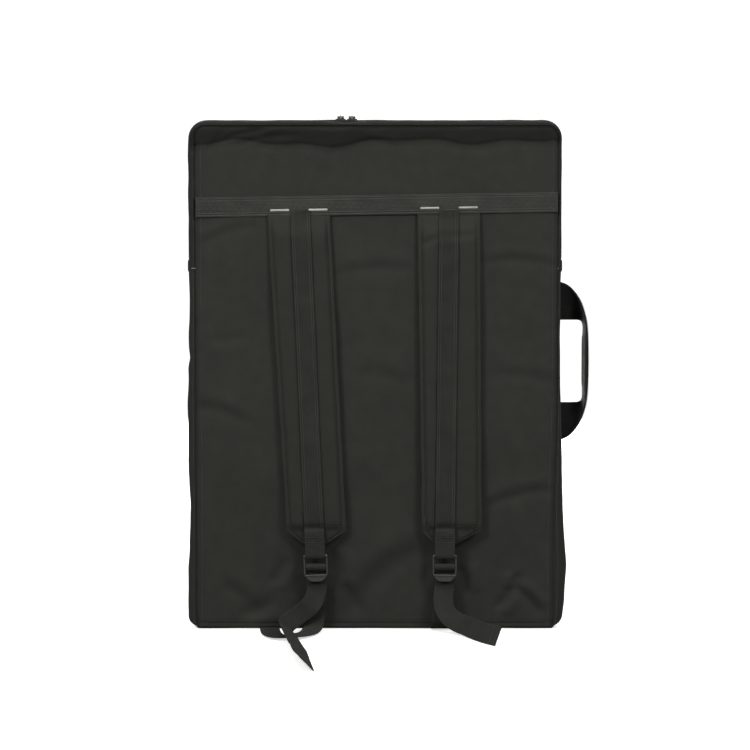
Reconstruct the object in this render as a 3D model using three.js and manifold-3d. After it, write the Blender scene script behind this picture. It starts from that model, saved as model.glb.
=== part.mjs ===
// A soft portfolio case for drawing boards, with a zip over its top and two backpack straps.
// Millimetres, +Z up. The back panel, which carries the straps, faces -Y. The case stands on
// its bottom gusset at z = 0, and the origin is the middle of that gusset.
import * as THREE from 'three';
import { mergeVertices } from 'three/addons/utils/BufferGeometryUtils.js';
import Module from 'manifold-3d';

const wasm = await Module();
wasm.setup();

// ---------------------------------------------------------------- driving dimensions
const WIDTH = 480; // over the bulge of the side gussets
const HEIGHT = 655; // floor to the top of the zip gusset
const DEPTH = 45; // back panel to front panel
const BULGE = 10; // how far the gusset stands out past the seams
const SEAM_RADIUS = 14; // top corners, at the seam
const ZIP_END = 465; // height of the zip's lower ends, where the front folds open
const GAP = 0.3; // between layers that touch

const FABRIC = 1.2;
const FOAM = 4;
const LINING = 0.6;
const GUSSET = 1.2;
const TAPE = 0.8;
const TAPE_EDGE = 13.8; // from the zip's middle to where the gusset covers the tape
const COIL_EDGE = 3.6;
const COIL_GAP = 0.6;
const COIL = 2.2;

const BAND_HEIGHT = 26; // the sewn band that holds the tops of the straps
const BAND_MIDDLE = 546;
const BAND_TILT = 0.84; // degrees
const TACK_WIDTH = 24;
const TACK_HEIGHT = 2.8;
const TACK = 0.7;
const TACK_OFFSET = 24.5; // from a strap's middle to the middle of each of its two tacks
const TACK_LIFT = 6.5; // above the band's lower edge

const WEBBING_WIDTH = 25.4;
const WEBBING = 1.4;
const PAD_TOP_WIDTH = 80;
const PAD_BOTTOM_WIDTH = 76;
const PAD_LENGTH = 402;
const PAD_TAPER = 18; // the folded corners below the pad's full width
const PAD_FOAM = 5;
const PAD_TILT = 1.2; // degrees that the straps stand off the panel
const STRAPS = [
  { side: 'left', padTop: -97.3, padBottom: -75.0, webTop: -95, webBottom: -75 },
  { side: 'right', padTop: 94.2, padBottom: 98.4, webTop: 94.2, webBottom: 89 },
];
const PIVOT_Y = -25;
const PIVOT_Z = 532;

const BUCKLE_WIDTH = 31;
const BUCKLE_INSIDE = 26.6;
const BUCKLE_THICK = 3.2;
const BUCKLE_TOP = -433.4; // heights below the strap's hinge
const BUCKLE_SHOULDER = -459.5;
const BUCKLE_FOOT = -467.5;
const UPPER_SLOT = [-436.6, -447.4];
const LOWER_SLOT = [-450.6, -458.6];
const BUCKLE_Y = -6; // middle of its thickness, out from the strap's hinge

const SLIDER_LENGTH = 13;
const SLIDER_WIDTH = 11;
const SLIDER_PLATE = 1.2;
const CROWN_HEIGHT = 4.5; // middle of the crown's bar above the zip
const PULL_LENGTH = 26;
const PULL_REST = 18.5; // degrees below level, lying on the front gusset
const SLIDERS = [
  { side: 'left', x: -44 },
  { side: 'right', x: -29.5 },
];

const HANDLE_MIDDLE = 345; // height of the hand grip's middle
const HANDLE_WEBBING = 3;
const GRIP_PAD = 3.4;

// ---------------------------------------------------------------- materials and nodes
const cloth = (color) => new THREE.MeshStandardMaterial({ color, roughness: 0.9, metalness: 0 });
const plastic = (color) => new THREE.MeshStandardMaterial({ color, roughness: 0.45, metalness: 0 });
const metal = (color) => new THREE.MeshStandardMaterial({ color, roughness: 0.3, metalness: 1 });
const SHELL = 0x2f302b;
const STRAP = 0x2b2c27;
const WEB = 0x33342f;

const object = new THREE.Group();

function add(name, geometry, material, parent = object) {
  const mesh = new THREE.Mesh(geometry, material);
  mesh.name = name;
  parent.add(mesh);
  return mesh;
}

// ---------------------------------------------------------------- geometry helpers
// A flat plate: an outline in X and Z, from y = near to y = near + thickness.
function plate(shape, near, thickness, curveSegments = 6) {
  const options = { depth: thickness, bevelEnabled: false, curveSegments };
  const geometry = new THREE.ExtrudeGeometry(shape, options);
  geometry.rotateX(Math.PI / 2);
  geometry.translate(0, near + thickness, 0);
  return geometry;
}

function polygon(points) {
  return new THREE.Shape(points.map(([x, z]) => new THREE.Vector2(x, z)));
}

// The panel's outline between two heights, with round top corners where it reaches the top.
function panelShape(half, low, high, radius) {
  const shape = new THREE.Shape();
  shape.moveTo(-half, low);
  shape.lineTo(half, low);
  shape.lineTo(half, high - radius);
  shape.absarc(half - radius, high - radius, radius, 0, Math.PI / 2, false);
  shape.lineTo(-half + radius, high);
  shape.absarc(-half + radius, high - radius, radius, Math.PI / 2, Math.PI, false);
  return shape;
}

// One closed solid through rings of points that all have the same count.
function loft(rings) {
  const count = rings[0].length;
  const positions = rings.flat().flatMap((p) => [p.x, p.y, p.z]);
  const index = [];
  for (let r = 0; r + 1 < rings.length; r++) {
    for (let k = 0; k < count; k++) {
      const a = r * count + k;
      const b = r * count + ((k + 1) % count);
      index.push(a, b, b + count, a, b + count, a + count);
    }
  }
  const flat = capTriangles(rings[0]);
  const end = (rings.length - 1) * count;
  for (const [a, b, c] of flat) {
    index.push(a, c, b, end + a, end + b, end + c);
  }
  const geometry = new THREE.BufferGeometry();
  geometry.setAttribute('position', new THREE.Float32BufferAttribute(positions, 3));
  geometry.setIndex(index);
  if (signedVolume(geometry) < 0) {
    index.reverse();
    geometry.setIndex(index);
  }
  return geometry;
}

// Strips are two rows of points, one out and one back, so their ends close as a ladder.
function capTriangles(ring) {
  const half = ring.length / 2;
  const triangles = [];
  for (let k = 0; k + 1 < half; k++) {
    const back = ring.length - 1 - k;
    triangles.push([k, k + 1, back - 1], [k, back - 1, back]);
  }
  return triangles;
}

function signedVolume(geometry) {
  const p = geometry.getAttribute('position');
  const index = geometry.getIndex().array;
  const [a, b, c] = [new THREE.Vector3(), new THREE.Vector3(), new THREE.Vector3()];
  let volume = 0;
  for (let i = 0; i < index.length; i += 3) {
    a.fromBufferAttribute(p, index[i]);
    b.fromBufferAttribute(p, index[i + 1]);
    c.fromBufferAttribute(p, index[i + 2]);
    volume += a.dot(b.cross(c)) / 6;
  }
  return volume;
}

function toSolid(geometry) {
  const bare = geometry.clone();
  bare.deleteAttribute('normal');
  bare.deleteAttribute('uv');
  const merged = mergeVertices(bare);
  return new wasm.Manifold(new wasm.Mesh({
    numProp: 3,
    vertProperties: new Float32Array(merged.getAttribute('position').array),
    triVerts: new Uint32Array(merged.getIndex().array),
  }));
}

function toGeometry(solid) {
  const mesh = solid.getMesh();
  const geometry = new THREE.BufferGeometry();
  geometry.setAttribute('position', new THREE.BufferAttribute(mesh.vertProperties, 3));
  geometry.setIndex(new THREE.BufferAttribute(mesh.triVerts, 1));
  return geometry;
}

function joined(geometries) {
  return toGeometry(geometries.map(toSolid).reduce((sum, next) => sum.add(next)));
}

function block(x0, x1, y0, y1, z0, z1) {
  const geometry = new THREE.BoxGeometry(x1 - x0, y1 - y0, z1 - z0);
  geometry.translate((x0 + x1) / 2, (y0 + y1) / 2, (z0 + z1) / 2);
  return geometry;
}

// ---------------------------------------------------------------- gussets and zip
// How far out the gusset stands at a depth y: 0 at the seams and BULGE at the middle.
function bulgeAt(y) {
  return Math.sqrt(Math.max(0, 1 - Math.abs(y / (DEPTH / 2)) ** 3));
}

// A strip of the gusset's surface between two depths, swept along seam stations.
// A station is a point on the seam line, its outward direction and its share of the bulge.
function rimStrip(stations, depths, thickness, sink = 0) {
  const rings = stations.map(({ x, z, outX, outZ, share }) => {
    const at = (y, inward) => {
      const out = BULGE * share * bulgeAt(y) - sink - inward;
      return new THREE.Vector3(x + outX * out, y, z + outZ * out);
    };
    const outer = depths.map((y) => at(y, 0));
    const inner = depths.map((y) => at(y, thickness)).reverse();
    return [...outer, ...inner];
  });
  return loft(rings);
}

const SEAM_X = WIDTH / 2 - BULGE;
const SEAM_TOP = HEIGHT - BULGE;
const CORNER_STEPS = 5;

// The zip's way: up one side from the zip's end, over the top and down the other side.
function zipStations(end) {
  const stations = [{ x: -SEAM_X, z: end, outX: -1, outZ: 0, share: 1 }];
  for (const side of [-1, 1]) {
    for (let k = 0; k <= CORNER_STEPS; k++) {
      const turn = (Math.PI / 2) * (side < 0 ? 1 - k / CORNER_STEPS : k / CORNER_STEPS);
      const outX = side * Math.sin(turn);
      const outZ = Math.cos(turn);
      const x = side * (SEAM_X - SEAM_RADIUS) + outX * SEAM_RADIUS;
      const z = SEAM_TOP - SEAM_RADIUS + outZ * SEAM_RADIUS;
      stations.push({ x, z, outX, outZ, share: 1 });
    }
  }
  stations.push({ x: SEAM_X, z: end, outX: 1, outZ: 0, share: 1 });
  return stations;
}

// Depths from the seam to the zip tape, closer together where the section turns.
function gussetDepths(from, to) {
  return [DEPTH / 2, 22, 20.6, 18, TAPE_EDGE].map((y) => THREE.MathUtils.clamp(y, to, from));
}

function makeGussets() {
  const back = gussetDepths(DEPTH / 2, TAPE_EDGE).map((y) => -y);
  const front = gussetDepths(DEPTH / 2, TAPE_EDGE);
  const zip = zipStations(ZIP_END + GAP);
  add('zip_gusset_back', rimStrip(zip, back, GUSSET), cloth(SHELL));
  add('zip_gusset_front', rimStrip(zip, front, GUSSET), cloth(SHELL));
  const tapeEnd = zipStations(ZIP_END + 12);
  for (const [side, sign] of [['back', -1], ['front', 1]]) {
    const tape = [TAPE_EDGE - GAP, COIL_EDGE + GAP].map((y) => sign * y);
    const coil = [COIL_EDGE, COIL_GAP].map((y) => sign * y);
    add(`zip_tape_${side}`, rimStrip(tapeEnd, tape, TAPE, GAP), cloth(WEB));
    add(`zip_coil_${side}`, rimStrip(tapeEnd, coil, COIL), plastic(0x232421));
  }
  const around = [-DEPTH / 2, -22, -20.6, -18, -TAPE_EDGE, 0, TAPE_EDGE, 18, 20.6, 22, DEPTH / 2];
  const foot = [[ZIP_END, 1], [14, 1], [7, 0.85], [FABRIC + GAP, 0.5]];
  for (const [side, sign] of [['left', -1], ['right', 1]]) {
    const stations = foot.map(([z, share]) => ({ x: sign * SEAM_X, z, outX: sign, outZ: 0, share }));
    add(`side_gusset_${side}`, rimStrip(stations, around, GUSSET), cloth(SHELL));
    const tab = [ZIP_END + GAP, ZIP_END + 11].map((z) => ({ x: sign * SEAM_X, z, outX: sign, outZ: 0, share: 1 }));
    const across = [-TAPE_EDGE + GAP, -6, 0, 6, TAPE_EDGE - GAP];
    add(`zip_end_tab_${side}`, rimStrip(tab, across, FABRIC + 0.6), cloth(SHELL));
  }
  const bottomHalf = SEAM_X + BULGE / 2;
  add('bottom_gusset', block(-bottomHalf, bottomHalf, -DEPTH / 2, DEPTH / 2, 0, FABRIC), cloth(SHELL));
}

// ---------------------------------------------------------------- panels
function makePanels() {
  const half = SEAM_X - GUSSET - GAP;
  const low = FABRIC + GAP;
  const high = SEAM_TOP - GUSSET - GAP;
  const radius = SEAM_RADIUS - GUSSET - GAP;
  const layers = [
    { name: '', thickness: FABRIC, inset: 0, material: cloth(SHELL) },
    { name: '_foam', thickness: FOAM, inset: 1.5, material: cloth(0x8a8a86) },
    { name: '_lining', thickness: LINING, inset: 2, material: cloth(0x1f201e) },
  ];
  let outer = DEPTH / 2;
  for (const { name, thickness, inset, material } of layers) {
    const wide = half - inset;
    const round = radius - inset;
    const top = high - inset;
    add(`back_panel${name}`, plate(panelShape(wide, low, top, round), -outer, thickness), material);
    const lower = polygon([[-wide, low], [wide, low], [wide, ZIP_END], [-wide, ZIP_END]]);
    const near = outer - thickness;
    add(`front_panel_lower${name}`, plate(lower, near, thickness), material);
    const upper = panelShape(wide, ZIP_END + GAP, top, round);
    add(`front_panel_upper${name}`, plate(upper, near, thickness), material);
    outer -= thickness + GAP;
  }
}

// ---------------------------------------------------------------- strap band and bar tacks
function makeBand() {
  const half = SEAM_X - GUSSET - GAP;
  const bandY = -DEPTH / 2 - GAP - WEBBING;
  const group = new THREE.Group();
  group.position.set(0, 0, BAND_MIDDLE);
  group.rotation.y = THREE.MathUtils.degToRad(-BAND_TILT);
  object.add(group);
  add('strap_band', block(-half, half, bandY, bandY + WEBBING, -BAND_HEIGHT / 2, BAND_HEIGHT / 2), cloth(WEB), group);
  const tackZ = -BAND_HEIGHT / 2 + TACK_LIFT;
  for (const { side, padTop } of STRAPS) {
    for (const sign of [-1, 1]) {
      const x = padTop + sign * TACK_OFFSET;
      const place = sign * padTop > 0 ? 'outer' : 'inner';
      const [low, high] = [x - TACK_WIDTH / 2, x + TACK_WIDTH / 2];
      const tack = block(low, high, bandY - GAP - TACK, bandY - GAP, tackZ, tackZ + TACK_HEIGHT);
      add(`bar_tack_${side}_${place}`, tack, cloth(0xc9c9c2), group);
    }
  }
}

// ---------------------------------------------------------------- straps
const TILT = new THREE.Matrix4().makeRotationX(THREE.MathUtils.degToRad(-PAD_TILT));

// A point in a strap's own frame, whose origin is the hinge line at the band, in the object's frame.
function onStrap(x, y, z) {
  return new THREE.Vector3(x, y, z).applyMatrix4(TILT).add(new THREE.Vector3(0, PIVOT_Y, PIVOT_Z));
}

function webAt(strap, z) {
  return strap.webTop + ((strap.webBottom - strap.webTop) * z) / BUCKLE_FOOT;
}

// A flat band of webbing along a route. Each stop of the route is a point and a width direction.
function ribbon(route, width, thickness, perStop) {
  const line = new THREE.CatmullRomCurve3(route.map(([x, y, z]) => new THREE.Vector3(x, y, z)));
  const across = new THREE.CatmullRomCurve3(route.map((s) => new THREE.Vector3(s[3], s[4], s[5])));
  const steps = (route.length - 1) * perStop;
  const rings = [];
  for (let k = 0; k <= steps; k++) {
    const t = k / steps;
    const middle = line.getPoint(t);
    const ahead = line.getTangent(t);
    const side = across.getPoint(t);
    side.addScaledVector(ahead, -side.dot(ahead)).normalize().multiplyScalar(width / 2);
    const up = new THREE.Vector3().crossVectors(ahead, side).normalize().multiplyScalar(thickness / 2);
    rings.push([
      middle.clone().add(side).add(up),
      middle.clone().sub(side).add(up),
      middle.clone().sub(side).sub(up),
      middle.clone().add(side).sub(up),
    ]);
  }
  return loft(rings);
}

// The webbing down the middle of the pad, round the buckle's top bar and back up to the pad.
function strapWebbingRoute(strap) {
  const stops = [
    [-9, -1], [-9, -130], [-9, -270], [-9, -400], [-9.2, -428], [-9.3, -434.5], [-8.4, -437.4],
    [-6, -438.5], [-3.6, -437.4], [-2.7, -434.5], [-2.9, -429], [-3.4, -PAD_LENGTH - PAD_TAPER - 0.8],
  ];
  return stops.map(([y, z]) => {
    const p = onStrap(webAt(strap, z), y, z);
    return [p.x, p.y, p.z, 1, 0, 0];
  });
}

// Where the adjuster goes through the buckle: up behind it, over the middle bar from the upper
// slot to the lower slot, and down again behind the foot, in front of itself.
function buckleStops(strap, widthSign) {
  const stops = [
    [-1, -478], [-1, -466], [-1, -455], [-1.8, -449.4], [-3.6, -446.2], [-6, -445.3],
    [-8.3, -446.5], [-9.1, -449], [-8.3, -451.6], [-6, -453.4], [-3.7, -454.9], [-2.9, -458.5],
    [-2.9, -468], [-3.1, -476],
  ];
  return stops.map(([y, z]) => {
    const p = onStrap(webAt(strap, z), y, z);
    return [p.x, p.y, p.z, widthSign, 0, 0];
  });
}

const ADJUSTERS = {
  left: {
    widthSign: -1,
    anchored: [
      [-136, -23.6, 1.6, 1, 0, 0],
      [-134, -46, 1.8, 0.97, 0.2, 0],
      [-129, -74, 2.2, 0.9, 0.42, 0],
      [-118, -94, 3, 0.5, 0.86, -0.05],
      [-103, -92, 3.6, -0.3, 0.95, -0.05],
      [-91, -77, 3, -0.75, 0.66, 0],
      [-83, -58, 3, -0.95, 0.3, 0],
      [-79, -43, 8, -1, 0.05, 0],
      [-77, -36.5, 22, -1, 0, 0],
      [-76, -35.6, 38, -1, 0, 0],
    ],
    tail: [
      [-77, -41.5, 44, -0.97, 0, 0.2],
      [-84, -45, 33, -0.85, 0.05, 0.5],
      [-95, -45, 24, -0.7, 0.1, 0.7],
      [-106, -48, 17, -0.6, 0.1, 0.8],
      [-112, -62, 14, -0.6, 0, 0.8],
      [-112, -82, 14.5, -0.7, 0, 0.71],
      [-109.5, -104, 15, -0.8, 0, 0.6],
      [-104, -130, 11, -0.83, 0, 0.55],
      [-98, -160, 8.4, -0.85, 0, 0.52],
      [-92, -198, 7.6, -0.85, 0, 0.52],
      [-86.5, -245, 8, -0.82, 0, 0.57],
      [-79, -297, 9.8, -0.68, 0, 0.73],
    ],
  },
  right: {
    widthSign: 1,
    anchored: [
      [84, -23.6, 1.8, 1, 0, 0],
      [84.4, -33, 3.4, 1, 0, 0],
      [85, -39.5, 11, 1, 0, 0],
      [86.4, -38.5, 24, 1, 0, 0],
      [87.8, -36, 40, 1, 0, 0],
    ],
    tail: [
      [87.5, -42, 44, 0.98, 0.1, 0.15],
      [88.5, -47, 32, 0.85, 0.2, 0.5],
      [94, -52, 22.5, 0.6, 0.3, 0.75],
      [103, -60, 16.5, 0.42, 0.3, 0.86],
      [115, -76, 13.8, 0.35, 0.28, 0.9],
      [128, -101, 12.4, 0.33, 0.28, 0.9],
      [140, -124, 12.3, 0.33, 0.28, 0.9],
      [152, -141, 12.3, 0.33, 0.28, 0.9],
    ],
  },
};

function padShape(strap, inset) {
  const length = PAD_LENGTH - inset;
  const top = PAD_TOP_WIDTH / 2 - inset;
  const bottom = PAD_BOTTOM_WIDTH / 2 - inset;
  const tip = WEBBING_WIDTH / 2 + 3;
  const foot = PAD_LENGTH + PAD_TAPER - inset;
  const tipX = webAt(strap, -foot);
  return polygon([
    [strap.padTop - top, -1],
    [strap.padBottom - bottom, -length],
    [tipX - tip, -foot],
    [tipX + tip, -foot],
    [strap.padBottom + bottom, -length],
    [strap.padTop + top, -1],
  ]);
}

function buckleShape() {
  const half = BUCKLE_WIDTH / 2;
  const inside = BUCKLE_INSIDE / 2;
  const shape = polygon([
    [-half + 2.5, BUCKLE_TOP],
    [-half, BUCKLE_TOP - 2.5],
    [-half, BUCKLE_SHOULDER],
    [-half + 3, BUCKLE_SHOULDER - 4.5],
    [-half + 8.5, BUCKLE_FOOT],
    [half - 8.5, BUCKLE_FOOT],
    [half - 3, BUCKLE_SHOULDER - 4.5],
    [half, BUCKLE_SHOULDER],
    [half, BUCKLE_TOP - 2.5],
    [half - 2.5, BUCKLE_TOP],
  ]);
  for (const [high, low] of [UPPER_SLOT, LOWER_SLOT]) {
    shape.holes.push(polygon([[-inside, high], [inside, high], [inside, low], [-inside, low]]));
  }
  return shape;
}

function makeStrap(strap) {
  const { side } = strap;
  const group = new THREE.Group();
  group.position.set(0, PIVOT_Y, PIVOT_Z);
  group.rotation.x = THREE.MathUtils.degToRad(-PAD_TILT);
  object.add(group);
  const faceY = -0.2 - 1 - GAP - PAD_FOAM - GAP - FABRIC;
  add(`strap_backing_${side}`, plate(padShape(strap, 0), -1.2, 1), cloth(STRAP), group);
  add(`strap_foam_${side}`, plate(padShape(strap, 3), -1.2 - GAP - PAD_FOAM, PAD_FOAM), cloth(0x8a8a86), group);
  add(`strap_face_${side}`, plate(padShape(strap, 0), faceY, FABRIC), cloth(STRAP), group);
  add(`strap_webbing_${side}`, ribbon(strapWebbingRoute(strap), WEBBING_WIDTH, WEBBING, 2), cloth(WEB));
  const buckle = plate(buckleShape(), BUCKLE_Y - BUCKLE_THICK / 2, BUCKLE_THICK);
  const lean = Math.atan((strap.webBottom - strap.webTop) / -BUCKLE_FOOT);
  buckle.translate(0, 0, -UPPER_SLOT[0]);
  buckle.rotateY(-lean);
  buckle.translate(webAt(strap, UPPER_SLOT[0]), 0, UPPER_SLOT[0]);
  add(`buckle_${side}`, buckle, plastic(0x1c1d1b), group);
  const { widthSign, anchored, tail } = ADJUSTERS[side];
  const route = [...anchored, ...buckleStops(strap, widthSign), ...tail];
  add(`adjuster_webbing_${side}`, ribbon(route, WEBBING_WIDTH, WEBBING, 3), cloth(WEB));
}

// ---------------------------------------------------------------- sliders and pulls
function sliderPlate(low) {
  const half = SLIDER_LENGTH / 2;
  const wide = SLIDER_WIDTH / 2;
  const shape = polygon([
    [-half, -wide + 1.6], [-half + 1.6, -wide], [half - 2.6, -wide], [half, -wide + 2.4],
    [half, wide - 2.4], [half - 2.6, wide], [-half + 1.6, wide], [-half, wide - 1.6],
  ]);
  const geometry = new THREE.ExtrudeGeometry(shape, { depth: SLIDER_PLATE, bevelEnabled: false });
  geometry.translate(0, 0, low);
  return geometry;
}

// Two plates, the blade between them, and the crown that the pull hangs on. z = 0 is the zip's top.
function sliderGeometry() {
  const top = 0.35;
  const bottom = -COIL - 0.5 - SLIDER_PLATE;
  return joined([
    sliderPlate(top),
    sliderPlate(bottom),
    block(1, 5, -0.3, 0.3, bottom + 0.5, top + 0.5),
    block(-4.4, -2.9, -1.1, 1.1, top + 0.5, CROWN_HEIGHT + 0.6),
    block(2.9, 4.4, -1.1, 1.1, top + 0.5, CROWN_HEIGHT + 0.6),
    block(-4.4, 4.4, -1.1, 1.1, CROWN_HEIGHT - 0.6, CROWN_HEIGHT + 0.6),
  ]);
}

// An eye round the crown's bar, and a flat tab that runs out along +Y from it.
function pullGeometry() {
  const ring = new THREE.Shape();
  ring.absarc(0, 0, 2.5, 0, Math.PI * 2, false);
  const hole = new THREE.Path();
  hole.absarc(0, 0, 1.5, 0, Math.PI * 2, true);
  ring.holes.push(hole);
  const eye = new THREE.ExtrudeGeometry(ring, { depth: 2.4, bevelEnabled: false, curveSegments: 8 });
  eye.translate(0, 0, -1.2);
  eye.rotateY(Math.PI / 2);
  const outline = polygon([
    [-2, 1.9], [2, 1.9], [3.6, 6], [3.6, PULL_LENGTH - 2.5], [2.2, PULL_LENGTH], [-2.2, PULL_LENGTH],
    [-3.6, PULL_LENGTH - 2.5], [-3.6, 6],
  ]);
  const slot = polygon([[-1.6, PULL_LENGTH - 9], [1.6, PULL_LENGTH - 9], [1.6, PULL_LENGTH - 4], [-1.6, PULL_LENGTH - 4]]);
  outline.holes.push(slot);
  const tab = new THREE.ExtrudeGeometry(outline, { depth: 1.5, bevelEnabled: false });
  tab.translate(0, 0, -0.75);
  return joined([eye, tab]);
}

function makeSliders() {
  for (const { side, x } of SLIDERS) {
    const slider = sliderGeometry();
    if (side === 'right') slider.rotateZ(Math.PI);
    add(`slider_${side}`, slider, metal(0xb9bab8)).position.set(x, 0, HEIGHT);
    const pull = add(`pull_${side}`, pullGeometry(), metal(0xb9bab8));
    pull.position.set(x, 0, HEIGHT + CROWN_HEIGHT);
    pull.rotation.x = THREE.MathUtils.degToRad(-PULL_REST);
  }
}

// ---------------------------------------------------------------- side handle
// The handle is a wide band. Its ends leave the side seam with their width upright, and it
// turns edge-on for the grip. Each row is one edge of the upper half: the short inner edge,
// which runs level and turns down, and the long outer edge, which curves over.
const INNER_EDGE = [
  [232, 23.9, 398], [243, 23.6, 398], [255, 24, 398], [264, 26.5, 395.5], [268.6, 30, 388], [270.2, 32, 376],
];
const OUTER_EDGE = [
  [232, 23.9, 446], [243, 22.4, 444.5], [255, 18, 437], [264.5, 10, 420], [270.5, 1, 402], [273.2, -6, 385],
];

function mirrored(edge) {
  return edge.map(([x, y, z]) => [x, y, 2 * HANDLE_MIDDLE - z]).reverse();
}

function bandBetween(edgeA, edgeB, thickness, steps, offset = 0) {
  const curve = (edge) => new THREE.CatmullRomCurve3(edge.map((p) => new THREE.Vector3(...p)));
  const [a, b] = [curve(edgeA), curve(edgeB)];
  const rings = [];
  for (let k = 0; k <= steps; k++) {
    const t = k / steps;
    const [p, q] = [a.getPoint(t), b.getPoint(t)];
    const ahead = a.getTangent(t).add(b.getTangent(t));
    const out = new THREE.Vector3().subVectors(q, p).cross(ahead).normalize();
    const shift = (v, amount) => v.clone().addScaledVector(out, amount);
    rings.push([
      shift(p, offset + thickness / 2),
      shift(q, offset + thickness / 2),
      shift(q, offset - thickness / 2),
      shift(p, offset - thickness / 2),
    ]);
  }
  return loft(rings);
}

function makeHandle() {
  const inner = [...INNER_EDGE, ...mirrored(INNER_EDGE)];
  const outer = [...OUTER_EDGE, ...mirrored(OUTER_EDGE)];
  add('handle_webbing', bandBetween(inner, outer, HANDLE_WEBBING, 33), cloth(0x161715));
  const grip = (edge) => [edge[edge.length - 1], mirrored(edge)[0]];
  const away = -(HANDLE_WEBBING + GRIP_PAD) / 2 - GAP;
  add('handle_grip_pad', bandBetween(grip(INNER_EDGE), grip(OUTER_EDGE), GRIP_PAD, 1, away), cloth(0x161715));
}

makePanels();
makeGussets();
makeBand();
STRAPS.forEach(makeStrap);
makeSliders();
makeHandle();

export default object;
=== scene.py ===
"""Looks of the portfolio case: woven shell, zip, padded shoulder straps, buckles and side handle.

Shapes are written in millimetres in the row frame and turned into metres when a mesh is made.
The carrying side with the straps faces -Y, the zip runs round the top, the handle is on +X.
"""

import math

import bpy
import numpy as np
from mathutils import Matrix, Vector


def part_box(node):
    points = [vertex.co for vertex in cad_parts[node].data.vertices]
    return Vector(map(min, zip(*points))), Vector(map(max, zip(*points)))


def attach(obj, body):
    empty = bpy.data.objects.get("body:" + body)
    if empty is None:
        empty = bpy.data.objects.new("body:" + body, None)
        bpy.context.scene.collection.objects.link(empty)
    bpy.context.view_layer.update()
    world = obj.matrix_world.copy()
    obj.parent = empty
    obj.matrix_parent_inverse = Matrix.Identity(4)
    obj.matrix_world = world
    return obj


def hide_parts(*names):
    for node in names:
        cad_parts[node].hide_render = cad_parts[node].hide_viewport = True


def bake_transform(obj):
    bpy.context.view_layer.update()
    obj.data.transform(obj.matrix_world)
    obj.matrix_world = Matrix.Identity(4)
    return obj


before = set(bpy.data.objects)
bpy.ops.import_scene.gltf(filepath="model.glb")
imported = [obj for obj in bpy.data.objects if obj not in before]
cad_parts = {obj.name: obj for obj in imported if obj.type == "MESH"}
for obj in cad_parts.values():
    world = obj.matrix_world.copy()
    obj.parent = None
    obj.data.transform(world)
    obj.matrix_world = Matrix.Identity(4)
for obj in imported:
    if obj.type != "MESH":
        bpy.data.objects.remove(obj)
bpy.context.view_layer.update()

MM = 0.001
TAU = 2 * math.pi

# ------------------------------------------------------------------ sizes shared with the CAD
SEAM_X = 230.0
SEAM_TOP = 645.0
SEAM_RADIUS = 14.0
BULGE = 10.0
HALF_DEPTH = 22.5
ZIP_END = 465.0
TAPE_EDGE = 13.8
COIL_EDGE = 3.6
BAND_MIDDLE = 546.0
BAND_HEIGHT = 26.0
BAND_TILT = math.radians(0.84)
PIVOT_Y = -25.0
PIVOT_Z = 532.0
PAD_TILT = math.radians(1.2)
PAD_TOP_HALF = 40.0
PAD_BOTTOM_HALF = 38.0
PAD_LENGTH = 402.0
PAD_TAPER = 18.0
TIP_HALF = 15.7
WEBBING_WIDTH = 25.4
WEBBING = 1.4
CLOTH = 1.1
BUCKLE_FOOT = -467.5
UPPER_SLOT_TOP = -436.6
BUCKLE_Y = -6.0
HANDLE_MIDDLE = 344.3
HANDLE_WIDTH = 42.0
METAL_EDGE = 0.3
STRAPS = {
    "left": {"pad_top": -97.3, "pad_bottom": -75.0, "web_top": -95.0, "web_bottom": -75.0},
    "right": {"pad_top": 94.2, "pad_bottom": 98.4, "web_top": 94.2, "web_bottom": 89.0},
}


# ------------------------------------------------------------------ camera
def make_camera():
    data = bpy.data.cameras.new("camera")
    data.lens = 97.44
    data.sensor_width = 36
    data.clip_start = 0.05
    data.clip_end = 60
    camera = bpy.data.objects.new("camera", data)
    bpy.context.scene.collection.objects.link(camera)
    camera.location = (0, -2.6225, 0.475)
    camera.rotation_euler = (math.radians(90 - 3.225), 0, 0)
    bpy.context.scene.camera = camera


make_camera()


# ------------------------------------------------------------------ small maths
def smooth(t):
    t = np.clip(t, 0, 1)
    return t * t * (3 - 2 * t)


def bump(distance, width):
    return np.exp(-((distance / width) ** 2))


def swell(x, z, scale, seed, count=7):
    """Gentle relief from about -1 to 1, made of a few waves near one wavelength."""
    random = np.random.RandomState(seed)
    total = 0
    for _ in range(count):
        turn, wave, phase = random.uniform(0, TAU), scale * random.uniform(0.7, 1.5), random.uniform(0, TAU)
        total = total + np.sin((x * math.cos(turn) + z * math.sin(turn)) * TAU / wave + phase)
    return total / (1.5 * math.sqrt(count))


def unit(v):
    return v / np.maximum(np.linalg.norm(v, axis=-1, keepdims=True), 1e-9)


def distances(line):
    """Distance along a line of points, at each point."""
    return np.concatenate([[0], np.cumsum(np.linalg.norm(np.diff(line, axis=0), axis=1))])


def sample(values, far, stops):
    """Points or directions along a line, read off at some distances."""
    return np.stack([np.interp(stops, far, values[:, k]) for k in range(3)], -1)


def folded(front, back):
    """Rings that run out along one face and back along the other."""
    return np.concatenate([front, back[:, ::-1]], axis=1)


def laid(across, along):
    """Cloth coordinates of a grid, from distances across and along it."""
    return np.stack(np.broadcast_arrays(across[None, :], along[:, None]), -1) * MM


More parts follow.
